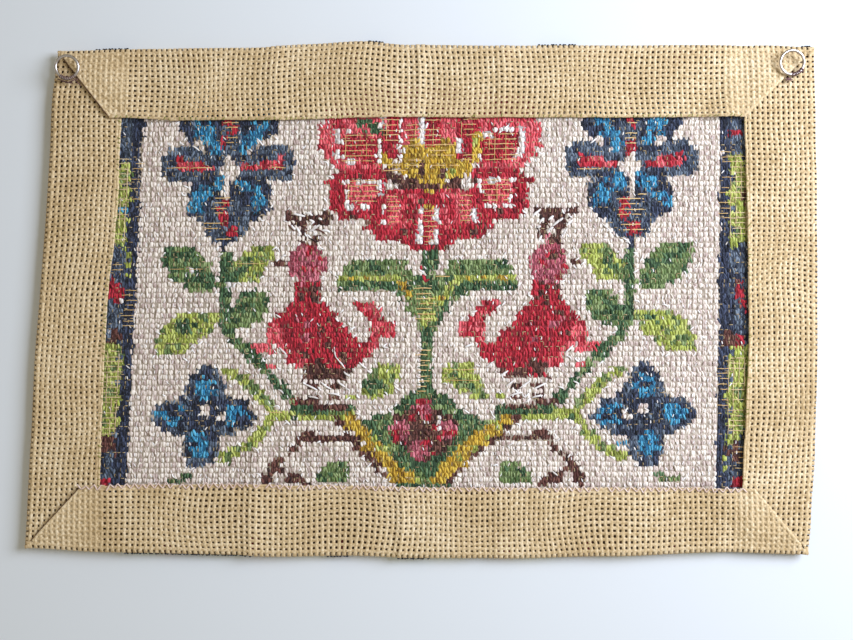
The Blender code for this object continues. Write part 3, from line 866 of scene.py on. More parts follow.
# Strips at the heart of the red flower, which aren't the same on the left and on the right
HEART_TOP = -6
fill(block(squares, -9.3, 8.8, HEART_TOP, 8), "crimson", "coral", 0.06)
strips = ((-6, -5, 8, "white"), (-5, -2, 7, "coral"), (-2, -1, 7, "white"), (2, 5, 6, "coral"))
for left, right, foot, yarn in strips:
    fill(block(squares, left, right, HEART_TOP, foot), yarn)
fill(block(squares, 5, 6, 3.6, 7.4), "white")
fill(block(squares, -10.4, -9.2, HEART_TOP, 3.4), "white", "coral", 0.5)
specks = ((-13.8, 1.0), (-12.4, 2.2), (-11.0, 1.4), (-9.8, 2.4), (-12.0, 0.8))
fill(spots(squares, 0.8, 0.7, *specks), "dark_green")
stamens = [
    (-9.4, 5.1), (-8.4, 6.7), (-6.9, 9), (-5.3, 8.7), (-5.3, 5.4), (-4.1, 4.1), (-1.9, 4.3),
    (-0.9, 6.1), (0.6, 6.4), (1.9, 4.5), (3.1, 3.7), (5.3, 6.1), (5.6, 8.7), (7.2, 8.4), (8.1, 6.1),
    (8.2, 2.8), (9.7, 2.8), (9.7, 6.4), (8.1, 10), (7.2, 12), (0, 12.8), (-3.4, 12), (-9.2, 9),
]
fill(inside(squares, stamens), "gold", "lime", 0.06)
sepals = [
    (-8.6, 9.6), (-6.8, 10.6), (-3.4, 12), (0, 12.8), (4.8, 12.4), (6.8, 11.8), (6, 13.4), (3, 14.2),
    (-3, 14.2), (-6.6, 13.4),
]
fill(inside(squares, sepals), "brown", "gold", 0.12)
fill(block(squares, -2.3, -1.2, 8, 12.4), "brown", "gold", 0.2)
fill(block(squares, 2.1, 3.2, 9.8, 12.6), "brown", "gold", 0.2)
fill(spots(squares, 0.6, 1.3, (0.0, 14.4)) | spots(squares, 0.6, 1.4, (0.0, 17.4)), "gold")

# Middle stem and the four berries of its base
fill(block(squares, -1.1, 1.1, 25.6, 55), "dark_green", "mid_green", 0.25)
fill(block(squares, 0.9, 2.1, 26, 30), "dark_green")
fill(spots(squares, 0.7, 0.8, (-1.2, 29.6), (-0.8, 31.6)), "crimson")
fill((abs(across + 0.6) < 2.4) & (down > 35) & (down < 41.6 - abs(across)), "mid_green", "lime", 0.45)
outline = [(-6.4, 58.6), (0, 56), (6, 58.8), (5.4, 63), (2.4, 66), (0, 67), (-3, 65.4), (-5.8, 63)]
fill(inside(squares, outline), "brown", "crimson", 0.18)
for berry in ((-5.0, 60.8), (4.3, 60.9), (-0.7, 56.8), (-1.0, 65.2)):
    fill(spots(squares, 1.9, 1.8, berry), "dusty_pink", "crimson", 0.15)
fill(spots(squares, 0.8, 1.2, (2.4, 59.4)), "white")

# Places where one side of the work differs from the other
fill(spots(squares, 0.8, 1.0, (37.0, 63.6)), "turquoise")
fill(spots(squares, 0.9, 0.9, (58.1, 3.4)) | spots(squares, 0.7, 0.8, (59.4, 44.0)), "crimson")
fill(spots(squares, 1.0, 1.4, (59.7, 16.2)) | spots(squares, 0.7, 0.6, (58.8, 32.5)), "brown")
fill(spots(squares, 0.7, 0.7, (55.5, 7.4)) | spots(squares, 0.6, 0.6, (-57.5, 35.5)), "white")
trail = ((-56.5, 26.5), (-56.5, 28.5), (-56.5, 30.5), (57.5, 25.5), (56.5, 66.5), (56.5, 68.5))
fill(spots(squares, 0.6, 0.6, *trail), "lime")
fill(spots(squares, 0.9, 1.6, (59.4, 54.8)), "dark_green", "navy", 0.3)
fill(spots(squares, 1.0, 0.9, (-57.9, 17.4)), "turquoise")
fill(spots(squares, 0.7, 0.6, (-44.8, 29.6)) | spots(squares, 0.7, 0.8, (-36.9, 32.2)), "white")


# Canvas
# The open cotton canvas itself: a plain ground where the wool covers it, and real threads with holes
# between them along the bare hems, which turn round the fold and are cut off at the mitres.

# How far the ground lies from the panel's middle towards the reverse, bare and where wool covers it
GROUND_BACK = 0.5 * MM
WOOL_BACK = 1.12 * MM
GROUND_COLUMNS = 99
GROUND_ROWS = 67

# Threads of the canvas: the upright ones are a little wider and lie a little prouder
UPRIGHT_WIDE = 1.72 * MM
LEVEL_WIDE = 1.6 * MM
UPRIGHT_PROUD = 0.04 * MM
THREAD_ROUND = 0.36 * MM
WEAVE = 0.12 * MM
THREAD_WANDER = 0.08 * MM
THREAD_UNEVEN = 0.05

# At the fold the threads spread until they nearly touch
FOLD_WIDE = 2.45 * MM
HEM_WIDE = 36 * MM
HEM_SQUARES = 16
HALF_SQUARES_IN = 34
EDGE_STEPS = 150
MITRE_STEPS = 60

# The counted column or row on which the threads round a fold are spaced, and that for those along it
ROUND_LINE = {"top": -13.8, "bottom": 86.0, "left": -72.0, "right": 72.0}
ALONG_LINE = {"top": -7.0, "bottom": 79.0, "left": 0.0, "right": 0.0}

# Where the side hems run on beneath the top and bottom ones, and how far past the window's line
TUCK_TOP = -10 * MM
TUCK_FOOT = -243 * MM
TUCK_PAST = 1.5 * MM


def window_edges(x, z):
    """How far inside the worked window a place is, in metres, below 0 under a hem."""
    inside_by = np.minimum(window_at("top", x) - z, z - window_at("bottom", x))
    return np.minimum(inside_by, np.minimum(x - window_at("left", z), window_at("right", z) - x))


def fold_distance(x, z):
    """How far inside the fold a place is, in metres."""
    inside_by = np.minimum(fold_at("top", x) - z, z - fold_at("bottom", x))
    return np.minimum(inside_by, np.minimum(x - fold_at("left", z), fold_at("right", z) - x))


def yarn_of(column, row):
    """The yarn charted at counted places."""
    i = np.clip(np.floor(column - COLUMNS[0] + 0.5).astype(int), 0, len(COLUMNS) - 1)
    j = np.clip(np.floor(row - ROWS[0] + 0.5).astype(int), 0, len(ROWS) - 1)
    return chart[j, i]


def ground():
    """The panel's canvas as one sheet from fold to fold, and the yarn that colours each of its faces.
    Under the hems it stands as high as the wool that covers it there."""
    u, v = np.meshgrid(np.linspace(0, 1, GROUND_COLUMNS), np.linspace(0, 1, GROUND_ROWS))
    x, z = panel_place(u, v)
    # It rises from 1.5 to 5 mm under a hem, and falls away again over the last 6 mm to the fold
    back = GROUND_BACK + (WOOL_BACK - GROUND_BACK) * ease((-window_edges(x, z) - 1.5 * MM) / (3.5 * MM))
    back = back * ease(fold_distance(x, z) / (6 * MM))
    points = np.stack([x, FOLD_RADIUS - forward(x, z) - back, z], -1)
    faces = grid_faces(u.shape)
    middle = points.reshape(-1, 3)[faces].mean(1)
    return points.reshape(-1, 3), faces, yarn_of(*counted(middle[:, 0], middle[:, 2]))


def hem_depth(name, along):
    """How far a hem reaches in from its fold. Away from the folded corners, a side hem runs on beneath
    the upper hem as far as the window."""
    fold = fold_at(name, along)
    reach = abs(mitre_at(name, along) - fold)
    if name in ("left", "right"):
        start, end = SIDES[name].start, SIDES[name].end
        in_window = (along < start.window_z * MM) & (along > end.window_z * MM)
        reach = np.where(in_window, abs(window_at(name, along) - fold), reach)
        under = (along < TUCK_TOP) & (along > TUCK_FOOT) & ~in_window
        window = np.interp(along, (end.z * MM, start.z * MM), (end.window_x * MM, start.window_x * MM))
        reach = np.where(under, abs(window - fold) + TUCK_PAST, reach)
    return reach


# How a hem's weave has been pulled askew: the size and length of each wave along it, and where it starts
Pull = namedtuple("Pull", "size length start")
PULLS_ALONG = (Pull(1.5 * MM, 170 * MM, 0.6), Pull(0.7 * MM, 61 * MM, 2.1))
PULLS_INWARD = (Pull(0.9 * MM, 128 * MM, 1.7), Pull(0.4 * MM, 43 * MM, 0.3))


def fold_ends(name):
    """Where the fold of a side starts and ends along it, the lower end first."""
    upright = SIDES[name].outward[0] != 0
    return sorted(fold_line(name, share)[int(upright)] for share in (0.0, 1.0))


def as_place(name, along, across_side):
    """A place along and across a side as (x, z)."""
    return (across_side, along) if SIDES[name].outward[0] else (along, across_side)


def hem_places(name, along, inward):
    """The place (x, z) at a distance in from the fold, with the weave a little askew between the fold
    and the free edge, and true again near the corners."""
    ends = fold_ends(name)
    from_corner = np.minimum(along - ends[0], ends[1] - along)
    askew = np.sin(pi * np.clip(inward / HEM_WIDE, 0, 1)) * ease((from_corner - 20 * MM) / (50 * MM))
    turned = list(SIDES).index(name) * 1.9
    along_by, inward_by = (
        askew * sum(pull.size * np.sin(2 * pi * along / pull.length + pull.start + turned) for pull in pulls)
        for pulls in (PULLS_ALONG, PULLS_INWARD)
    )
    along, inward = along + along_by, inward + inward_by
    return as_place(name, along, fold_at(name, along) - inward * sum(SIDES[name].outward))


def on_line(name, counts, line):
    """Places along a side at counted squares, taken on one counted line."""
    line = np.full(counts.shape, line)
    return on_canvas(line, counts)[1] if SIDES[name].outward[0] else on_canvas(counts, line)[0]


def threads_round_fold(name):
    """The threads of a hem that come round the fold and in. The last ones at each end are doubled."""
    outward = SIDES[name].outward
    upright = outward[0] != 0
    ends = fold_ends(name)
    lines = on_line(name, ROWS if upright else COLUMNS, ROUND_LINE[name])
    within = (lines > ends[0] + 0.9 * MM) & (lines < ends[1] - 0.9 * MM)
    numbers = np.concatenate([[0, 0], np.flatnonzero(within), [0, 0]])[:, None]
    lines = lines[within]
    outer = np.array([ends[0] - 0.3 * MM, ends[1] + 0.3 * MM])
    beside = (outer + [lines.min(), lines.max()]) / 2
    lines = np.concatenate([[outer[0], beside[0]], lines, [beside[1], outer[1]]])
    depth = np.maximum(hem_depth(name, lines), 0.3 * MM)[:, None]

    # Five steps round the fold, then half a square at a time
    turns = np.array([0.02, 0.25, 0.5, 0.75, 0.96])
    inward = np.concatenate([np.zeros(len(turns)), np.arange(1, HALF_SQUARES_IN) * SQUARE / 2])
    turn = np.concatenate([turns, np.ones(HALF_SQUARES_IN - 1)])
    step = np.arange(len(turn))
    along = np.repeat(lines[:, None], len(inward), 1)
    kept = inward[:-1] < depth - 0.1 * MM
    inward = np.minimum(inward, depth)
    flat = turn == 1
    crossing = (step % 2 == 1) & flat
    over = np.where((numbers + step // 2) % 2, 1.0, -1.0)
    along = along + chance.normal(0, THREAD_WANDER, along.shape) * flat
    x, z = hem_places(name, along, inward)
    lift = np.where(crossing, WEAVE * over, 0) - (0 if upright else UPRIGHT_PROUD)
    end_dip = ease(1 - (depth - inward) / (0.8 * MM)) * 0.3 * MM
    y_fold = FOLD_RADIUS * np.cos(pi * turn) - forward(x, z)
    y = np.where(flat, hem_lie(name, x, z) + lift + end_dip, y_fold)
    out_by = FOLD_RADIUS * np.sin(pi * turn) * ~flat
    points = np.stack([x + outward[0] * out_by, y, z + outward[1] * out_by], -1)
    facing = np.zeros_like(points)
    facing[..., 0] = outward[0] * np.sin(pi * turn)
    facing[..., 1] = np.cos(pi * turn)
    facing[..., 2] = outward[1] * np.sin(pi * turn)
    wide = LEVEL_WIDE if upright else UPRIGHT_WIDE
    on_hem = np.where(crossing, wide * 1.08, wide * 0.9)
    round_fold = np.interp(turn, (0.5, 0.8), (FOLD_WIDE, wide * 0.95))
    width = np.where(flat, on_hem, round_fold) * chance.normal(1, THREAD_UNEVEN, along.shape)
    height = np.where(flat, THREAD_ROUND, 0.55 * THREAD_ROUND)
    return (*threads(points, width, height, facing, 3, kept), 1 if upright else 0)


def threads_along_fold(name):
    """The threads of a hem that run along it, one to each square."""
    upright = SIDES[name].outward[0] != 0
    first, last = (FIRST_ROW, LAST_ROW) if upright else (FIRST_COLUMN, LAST_COLUMN)
    stations = on_line(name, np.arange(first, last + 0.5, 0.5), ALONG_LINE[name])
    counts = np.arange(HEM_SQUARES)[:, None]
    step = np.arange(len(stations))
    along = np.repeat(stations[None], HEM_SQUARES, 0)
    inward = np.repeat((counts + 0.5) * SQUARE, len(stations), 1)
    room = hem_depth(name, along) - 0.4 * MM
    kept = (room[:, :-1] > inward[:, :-1]) & (room[:, 1:] > inward[:, 1:])
    kept &= (fold_distance(*hem_places(name, along, inward)) > -0.5 * MM)[:, :-1]
    crossing = step % 2 == 1
    over = np.where((step // 2 + counts) % 2, 1.0, -1.0)
    inward = inward + chance.normal(0, THREAD_WANDER, inward.shape)
    x, z = hem_places(name, along, inward)
    lift = np.where(crossing, WEAVE * over, 0) - (UPRIGHT_PROUD if upright else 0)
    points = np.stack([x, hem_lie(name, x, z) + lift, z], -1)
    wide = UPRIGHT_WIDE if upright else LEVEL_WIDE
    width = np.where(crossing, wide * 1.08, wide * 0.92) * chance.normal(1, THREAD_UNEVEN, x.shape)
    return (*threads(points, width, THREAD_ROUND, -1.0, 4 if upright else 3, kept), 0 if upright else 1)


def thread_at_free_edge(name):
    """The thread that is drawn tight along the free edge of a hem."""
    side = SIDES[name]
    upright = side.outward[0] != 0
    ends = (side.start.window_z, side.end.window_z) if upright else (side.start.mitre_x, side.end.mitre_x)
    along = np.linspace(ends[0] * MM, ends[1] * MM, EDGE_STEPS)
    across_side = window_at(name, along) + sum(side.outward) * 0.55 * MM
    across_side = across_side + chance.normal(0, 0.1 * MM, EDGE_STEPS)
    x, z = as_place(name, along, across_side)
    points = np.stack([x, hem_lie(name, x, z) - 0.1 * MM, z], -1)[None]
    return (*threads(points, 1.25 * MM, THREAD_ROUND), 0 if upright else 1)


def mitre_edge(name, corner, aside, wide, high, back):
    """A line along a mitre, at a distance aside of the seam towards the upper hem, all in mm."""
    start = np.array([corner.x, corner.z]) * MM
    end = np.array([corner.mitre_x, corner.mitre_z]) * MM
    part = np.linspace(0.14, 1.0, MITRE_STEPS)
    x, z = (start[axis] + (end[axis] - start[axis]) * part for axis in (0, 1))
    x = x - np.sign(corner.x) * aside * MM + chance.normal(0, 0.06 * MM, MITRE_STEPS)
    points = np.stack([x, hem_lie(name, x, z) - back * MM, z], -1)[None]
    return threads(points, wide * MM * chance.normal(1, 0.12, (1, MITRE_STEPS)), high * MM)


def doubled(name, corner):
    """The side hem's cloth folded in beneath the end of the top or bottom hem. It keeps a little inside
    the mitre and the fold, and between the panel and the hem that covers it."""
    u, v = np.meshgrid(np.linspace(0, 1, 18), np.linspace(0, 1, 14))
    side_x = corner.x * MM
    inner_x = (corner.mitre_x - np.sign(corner.x) * 9) * MM
    fold_z = fold_at(name, (side_x + inner_x) / 2)
    x = side_x + (inner_x - side_x) * u
    z = fold_z + (corner.mitre_z * MM - fold_z) * v
    mitre, fold = mitre_at(name, x), fold_at(name, x)
    up = SIDES[name].outward[1]
    z = np.where((z - mitre) * up < 0.6 * MM, mitre + up * 0.6 * MM, z)
    z = np.where((fold - z) * up < 1.2 * MM, fold - up * 1.2 * MM, z)
    hem = hem_lie(name, x, z)
    y = np.minimum(np.maximum(-forward(x, z) - 0.34 * MM, hem + 0.12 * MM), hem + 0.3 * MM)
    return np.stack([x, y, z], -1).reshape(-1, 3), grid_faces(u.shape)


# What shows between the stitches: canvas in the pale ground, and wool in the other yarns, both painted
# darker as shade: the canvas a greyer brown, the wool at half its brightness
GAPS_IN_PAINTED_SHADE = [cotton("cotton_canvas_between_the_stitches_in_painted_shade", "8E8071", "AD9F8F", "CABDAE", 1.2 * MM)]
for yarn in YARN_NAMES[1:]:
    GAPS_IN_PAINTED_SHADE.append(wool(f"wool_{yarn}_in_the_gaps_painted_shade", *YARN_TONES[yarn], depth=0.5))
# A dark brown painted shade for the canvas and navy wool deep behind the hems' holes, and for the gaps along
# two mitres
SHADED = cotton("cotton_canvas_and_navy_wool_in_shadow", "3A2417", "573B25", "7C5E3C", 1.2 * MM)
YARN_SLOT = 2
SHADED_SLOT = YARN_SLOT + len(YARNS)

# Under the hems the ground is painted a dark brown as the shade seen through the holes, but for the
# brightest colours, which keep their wool colour painted half as bright
corners, faces, yarn_of_face = ground()
middle = corners[faces].mean(1)
under_hem = window_edges(middle[:, 0], middle[:, 2]) < -4 * MM
brightest_yarns = np.isin(yarn_of_face, [YARN_NAMES.index(yarn) for yarn in ("crimson", "coral", "turquoise")])
cloth_parts = [(corners, faces, np.where(under_hem & ~brightest_yarns, SHADED_SLOT, YARN_SLOT + yarn_of_face))]
for name in ("left", "right", "top", "bottom"):
    cloth_parts += [threads_round_fold(name), threads_along_fold(name), thread_at_free_edge(name)]

# Each mitre, with the width in mm of the strip of painted shade along its seam where it gapes
for name, corner, gap in (
    ("top", TOP_LEFT, 0.6),
    ("top", TOP_RIGHT, None),
    ("bottom", BOTTOM_LEFT, 0.4),
    ("bottom", BOTTOM_RIGHT, None),
):
    cloth_parts.append((*mitre_edge(name, corner, aside=0.7, wide=1.5, high=0.3, back=0.0), 0))
    if gap:
        # A strip in the painted shade colour stands for the shade in the gaping seam
        seam = mitre_edge(name, corner, aside=-0.15, wide=gap, high=0.2, back=0.3)
        cloth_parts.append((*seam, SHADED_SLOT))
    cloth_parts.append((*doubled(name, corner), 0))
cloth = make_piece("cloth", cloth_parts, [WARP, WEFT, *GAPS_IN_PAINTED_SHADE, SHADED])
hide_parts("cloth")


# Wool stitches on the reverse
# Every square carries a stitch. Here the wool shows as short upright strands: one thick bead to each
# square of the pale ground, and two thin strands to each square of a colour, where the plies part.

REVERSE_BASE = 0.42 * MM
STRAND_WIDE = 1.12
PALE_STRAND_WIDE = 1.3
STRAND_SHIFTS = (-0.25, 0.25)
PALE = [YARN_NAMES.index(yarn) for yarn in ("ecru", "white")]


def stitch_places(column, row, back):
    """Points on the panel at counted places, set back from its middle towards the reverse."""
    x, z = on_canvas(column, row)
    return np.stack([x, FOLD_RADIUS - forward(x, z) - back, z], -1)


def beads(columns, rows):
    """One thick upright bead of wool on each square, each with its own place, slant and size."""
    count = (len(columns), 1)
    part = np.array([-0.49, -0.3, 0.0, 0.3, 0.49])
    columns = columns[:, None] + chance.normal(0.06, 0.05, count) + chance.normal(0.05, 0.17, count) * part
    rows = rows[:, None] + chance.normal(0, 0.05, count) + part * chance.normal(0.97, 0.07, count)
    size = chance.normal(1.0, 0.13, count)
    dip = np.array([-0.1, 0.0, 0.08, 0.0, -0.1]) * MM + chance.normal(0, 0.1 * MM, count)
    width = np.array([0.9, 1.6, 1.8, 1.6, 0.9]) * MM * size
    height = np.array([0.12, 0.5, 0.66, 0.5, 0.12]) * MM * size
    return threads(stitch_places(columns, rows, REVERSE_BASE + dip), width, height, -1.0, 3)


def strands(columns, rows, lean=0.08, wide=STRAND_WIDE, long=0.56, lift=0.0):
    """One thin upright strand at each place, with its slant and half length in squares, and its width
    and its lift towards the reverse in mm."""
    count = (len(columns), 1)
    part = np.array([-1.0, -0.45, 0.45, 1.0]) * long
    columns = columns[:, None] + chance.normal(0, 0.08, count) + chance.normal(lean, 0.27, count) * part
    rows = rows[:, None] + chance.normal(0, 0.13, count) + part * chance.normal(1.0, 0.14, count)
    size = chance.normal(1.0, 0.17, count)
    dip = np.array([-0.2, 0.05, 0.05, -0.2]) * MM + chance.normal(lift, 0.14, count) * MM
    width = np.array([0.6, 1.0, 1.0, 0.6]) * wide * MM * size
    height = np.array([0.15, 0.55, 0.55, 0.15]) * MM * size
    return threads(stitch_places(columns, rows, REVERSE_BASE + dip), width, height, -1.0, 3)


x, z = on_canvas(across, down)
seen = window_edges(x, z) > -3.2 * MM
columns, rows = across[seen], down[seen]
pair = []
for shift in STRAND_SHIFTS:
    wander = chance.normal(0, 0.17, (2, len(columns)))
    pair.append(yarn_of(columns + shift + wander[0], rows + wander[1]))
whole = (pair[0] == pair[1]) & np.isin(pair[0], PALE)

for number, yarn in enumerate(YARN_NAMES):
    parts = []
    here = whole & (pair[0] == number)
    if here.any():
        parts.append((*beads(columns[here], rows[here]), 0))
    for shift, yarns in zip(STRAND_SHIFTS, pair):
        here = ~whole & (yarns == number)
        wide = PALE_STRAND_WIDE if number in PALE else STRAND_WIDE
        if here.any():
            parts.append((*strands(columns[here] + shift, rows[here], wide=wide), 0))
    if yarn == "white":
        # Pale plies that stand proud of the beads, and a few that stray over the colours: real plies, whose
        # white on the bead crests also stands for painted highlights
        proud = chance.random(len(columns)) < np.where(whole, 0.5, 0.05)
        count = (proud.sum(), 1)
        part = np.array([-0.3, 0.0, 0.3])
        place = columns[proud][:, None] + chance.normal(0, 0.16, count)
        place = place + chance.normal(0.1, 0.4, count) * part
        back = REVERSE_BASE + np.array([0.5, 0.62, 0.5]) * MM + chance.normal(0, 0.04, count) * MM
        level = rows[proud][:, None] + part + chance.normal(0, 0.12, count)
        width = np.array([0.35, 0.62, 0.35]) * MM
        parts.append((*threads(stitch_places(place, level, back), width, 0.2 * MM, -1.0, 2), 0))
    if parts:
        make_piece("reverse_stitches_" + yarn, parts, [YARNS[yarn]])


# The second ply of each pale stitch, which lies lower and to the left
here = whole & (chance.random(len(columns)) < 0.92)
low_plies = strands(columns[here] - 0.33, rows[here], lean=0.05, wide=0.95, long=0.5, lift=0.12)
make_piece("reverse_stitches_ecru_second_ply", [(*low_plies, 0)], [YARNS["ecru"]])


# Wool stitches on the worked front
# The same squares seen from the other side: slanting half crosses side by side, each over one crossing
# of the canvas, from fold to fold.

FRONT_BASE = 0.1 * MM
on_panel = fold_distance(x, z) > 0.4 * MM

for number, yarn in enumerate(YARN_NAMES):
    here = (chart == number) & on_panel
    count = (here.sum(), 1)
    part = np.array([-0.48, 0.0, 0.48])
    size = chance.normal(1.0, 0.05, count)
    dip = np.array([0.25, 0.0, 0.25]) * MM
    points = stitch_places(across[here][:, None] + part, down[here][:, None] - part, -FRONT_BASE + dip)
    width = np.array([1.3, 1.8, 1.3]) * MM * size
    height = np.array([0.45, 0.85, 0.45]) * MM * size
    make_piece("front_stitches_" + yarn, [(*threads(points, width, height, 1.0, 3), 0)], [YARNS[yarn]])


# Canvas threads that show between the stitches
# Where the wool is worked thinly, single golden threads of the canvas lie across it, most of them level.
# They cross the petals, stamens, stems and stripes, and make a net over the lime of the border.

CANVAS_LINE = cotton("cotton_canvas_thread_between_stitches", "B98A4C", "DDB678", "F2D9A6", 1.0 * MM)


def crossing_threads(areas, share, wide=0.5, back=0.95, level=True, slot=0):
    """Threads one square apart over each area, a share of them showing. An area is the first and last
    column and the first and last row. Their width and how far they lie towards the reverse are in mm."""
    points = []
    for first, last, start, stop in areas:
        low, high = (start, stop) if level else (first, last)
        for line in np.arange(low, high + 0.01):
            ends = (first, last) if level else (start, stop)
            begin = ends[0] + chance.uniform(-0.4, 0.6)
            while begin < ends[1] - 0.6:
                finish = min(begin + chance.uniform(2.4, 9.0), ends[1] + chance.uniform(-0.3, 0.5))
                if chance.random() < share:
                    run = np.linspace(begin, finish, 6)
                    aside = line + chance.normal(0, 0.05) + chance.normal(0, 0.035, 6)
                    points.append((run, aside) if level else (aside, run))
                begin = finish + chance.uniform(0.1, 0.5)
    points = np.array(points)
    # Their ends sink into the wool
    hump = np.array([0.0, 0.85, 1.0, 1.0, 0.85, 0.0]) * 0.45 * MM
    places = stitch_places(points[:, 0], points[:, 1], back * MM - 0.35 * MM + hump)
    return (*threads(places, wide * MM, 0.26 * MM, -1.0, 3), slot)


petals = []
for hand in (-1, 1):
    for inner, outer, start, stop in (
        (10.3, 17.0, 3.4, 8.6),
        (9.8, 15.4, 12.4, 16.6),
        (5.8, 8.0, 15.4, 20.6),
    ):
        petals.append((*sorted((inner * hand, outer * hand)), start, stop))
petals += [
    (-9.3, -5.9, 0.4, 4.5), (-4.8, -2, 0.4, 4.6), (-1.3, 1.9, 0.4, 5.5), (5.9, 9.0, 0.4, 3.6),
    (-1.2, 1.2, 18.4, 24.5),
]
stamen_lines = [(-8.8, -4.4, 8.4, 11), (-4.6, -1.6, 5.4, 10), (0, 5.4, 5.4, 10), (6, 8.4, 7.4, 10)]
flower_lines = [
    (-41.1, -38.1, 15.4, 18.5), (-42.6, -39.1, 20.4, 21.5), (-41.1, -37.3, 22.5, 23.6),
    (-36.1, -34.3, 17.5, 17.6), (-39.4, -36.8, 0.4, 4.5), (-50.2, -40.9, 9.4, 9.5),
    (-35, -27.4, 9.5, 9.6), (35.0, 41.0, 15.4, 16.5), (36.0, 40.6, 17.4, 23.5), (37.0, 39.2, 1.4, 5.5),
    (28, 35, 10.4, 10.5),
]
stem_lines = [
    (-1.8, 0.4, 45.5, 53.6),
    (-4.5, -1.8, 31.3, 31.4),
    (1, 5, 31.2, 31.3),
    (-2.4, 1.2, 33.5, 39.6),
]
stripe_lines = [
    (-57.2, -54.8, 7.4, 17), (-57.2, -55.0, 32.4, 41), (54.9, 57.1, 7.4, 21), (54.9, 57.1, 48.4, 57.5),
    (-60, -57.6, 26.4, 30), (58.6, 60.5, 64.4, 70),
]
lime_nets = [
    (-60.6, -57.0, 7.4, 24),
    (-61.4, -57.0, 45.4, 62),
    (57.0, 60.4, 8.4, 24),
    (57.0, 60.4, 47.4, 62),
]
leaf_lines = [(-49, -42, 27.4, 32.5), (-36, -31, 27.4, 29.6), (3, 10, 49.4, 53.5), (-30, -20, 57.4, 57.5)]
lines = [
    crossing_threads(petals, share=0.93, wide=0.44),
    crossing_threads(petals, level=False, share=0.25, wide=0.3, back=0.9),
    crossing_threads(stamen_lines, share=0.6),
    crossing_threads(flower_lines, share=0.75),
    crossing_threads(stem_lines, share=0.95),
    crossing_threads(stripe_lines, share=0.75, wide=0.36),
    crossing_threads(lime_nets, share=0.85, wide=0.42, slot=1),
    crossing_threads(lime_nets, level=False, share=0.7, wide=0.36, back=0.9, slot=1),
    crossing_threads(leaf_lines, share=0.2, wide=0.3),
]
make_piece("canvas_threads_between_stitches", lines, [CANVAS_LINE, WARP])

# Everywhere else in the colours a thin canvas thread shows between two stitches here and there, its canvas
# colour darkened as painted shade
CANVAS_THREAD_IN_PAINTED_SHADE = cotton("cotton_canvas_thread_deep_between_stitches", "7E6A4C", "AC946C", "D2BE98", 1.0 * MM)
coloured = ~np.isin(chart, PALE) & (abs(across) < 60.5) & (down > 0) & (down < 72)
deep_canvas_threads = []
for place in np.flatnonzero(coloured & (chance.random(chart.shape) < 0.42)):
    line = np.full(4, 0.5) + chance.normal(0, 0.04)
    run = np.linspace(-0.32, 0.32, 4) + chance.normal(0, 0.1)
    aside, along = (line, run) if chance.random() < 0.7 else (run, line)
    deep_canvas_threads.append((across.flat[place] + aside, down.flat[place] + along))
deep_canvas_threads = np.array(deep_canvas_threads)
places = stitch_places(deep_canvas_threads[:, 0], deep_canvas_threads[:, 1], np.array([0.55, 0.98, 0.98, 0.55]) * MM)
parts = [(*threads(places, 0.38 * MM, 0.2 * MM, -1.0, 2), 0)]
make_piece("canvas_threads_in_the_colours", parts, [CANVAS_THREAD_IN_PAINTED_SHADE])


# Loose wool on the reverse
# Ends and carried strands of the pale wool lie slantwise over the edges of the motifs, and cross the
# birds' crests and feet.

def carried(runs, wide=0.9, back=1.15):
    """Strands that pass from one counted place to another, rising between their ends. A run is the
    column and row at which it starts and those at which it ends."""
    places = []
    for column, row, last_column, last_row in runs:
        part = np.linspace(0, 1, 6)
        bend = chance.normal(0, 0.12) * np.sin(part * pi)
        rise = np.sin(part * pi) ** 0.6 * 0.45 * MM
        columns = column + (last_column - column) * part + bend
        rows = row + (last_row - row) * part - bend
        places.append(stitch_places(columns, rows, (back - 0.45) * MM + rise))
    width = np.array([0.5, 0.9, 1.0, 1.0, 0.9, 0.5]) * wide * MM
    return (*threads(np.array(places), width, 0.36 * MM), 0)


crest = [
    (-25.8, 18.6, -23.4, 19.2), (-23.6, 18.5, -22.0, 19.1), (-22.6, 19.9, -21.6, 20.4),
    (-20.9, 19.6, -20.2, 20.0), (-22.7, 22.4, -20.6, 20.9), (-20.4, 22.1, -18.6, 22.5),
    (-22.0, 22.9, -21.0, 22.5), (-26.0, 20.9, -25.2, 21.8), (-25.0, 21.4, -24.4, 22.5),
    (19.6, 19.6, 21.2, 18.2), (20.9, 20.9, 21.8, 20.0), (22.6, 20.4, 23.6, 19.6),
    (23.4, 21.6, 25.0, 20.2), (24.4, 20.8, 25.4, 20.0), (20.4, 22.0, 21.2, 21.6),
    (22.4, 22.6, 23.6, 21.8), (26.0, 21.6, 27.2, 20.4), (25.4, 23.4, 26.2, 22.0),
    (20.8, 24.6, 21.4, 23.4),
]
FOOT_RUNS = [
    (22.6, 52.0, 20.2, 53.2), (19.6, 51.6, 17.6, 53.0), (18.2, 53.8, 15.8, 54.4),
    (22.0, 54.4, 20.0, 54.8), (16.6, 51.4, 15.0, 52.6), (15.4, 49.6, 13.9, 50.6),
    (27.6, 44.8, 26.2, 46.2), (12.6, 47.8, 11.2, 49.0), (8.6, 44.4, 7.2, 45.0),
]
feet = [
    (start * hand, row, end * hand, last_row)
    for hand in (-1, 1)
    for start, row, end, last_row in FOOT_RUNS
]
edges = [
    (-17.3, 44.8, -16.9, 46.9), (-16.9, 46.9, -15.2, 49.0), (32.5, 21.0, 34.6, 22.8),
    (36.6, 24.0, 38.2, 25.2), (-44.0, 6.0, -45.4, 5.0), (-33.2, 3.6, -31.8, 5.2),
    (31.8, 4.2, 30.4, 5.4),
]

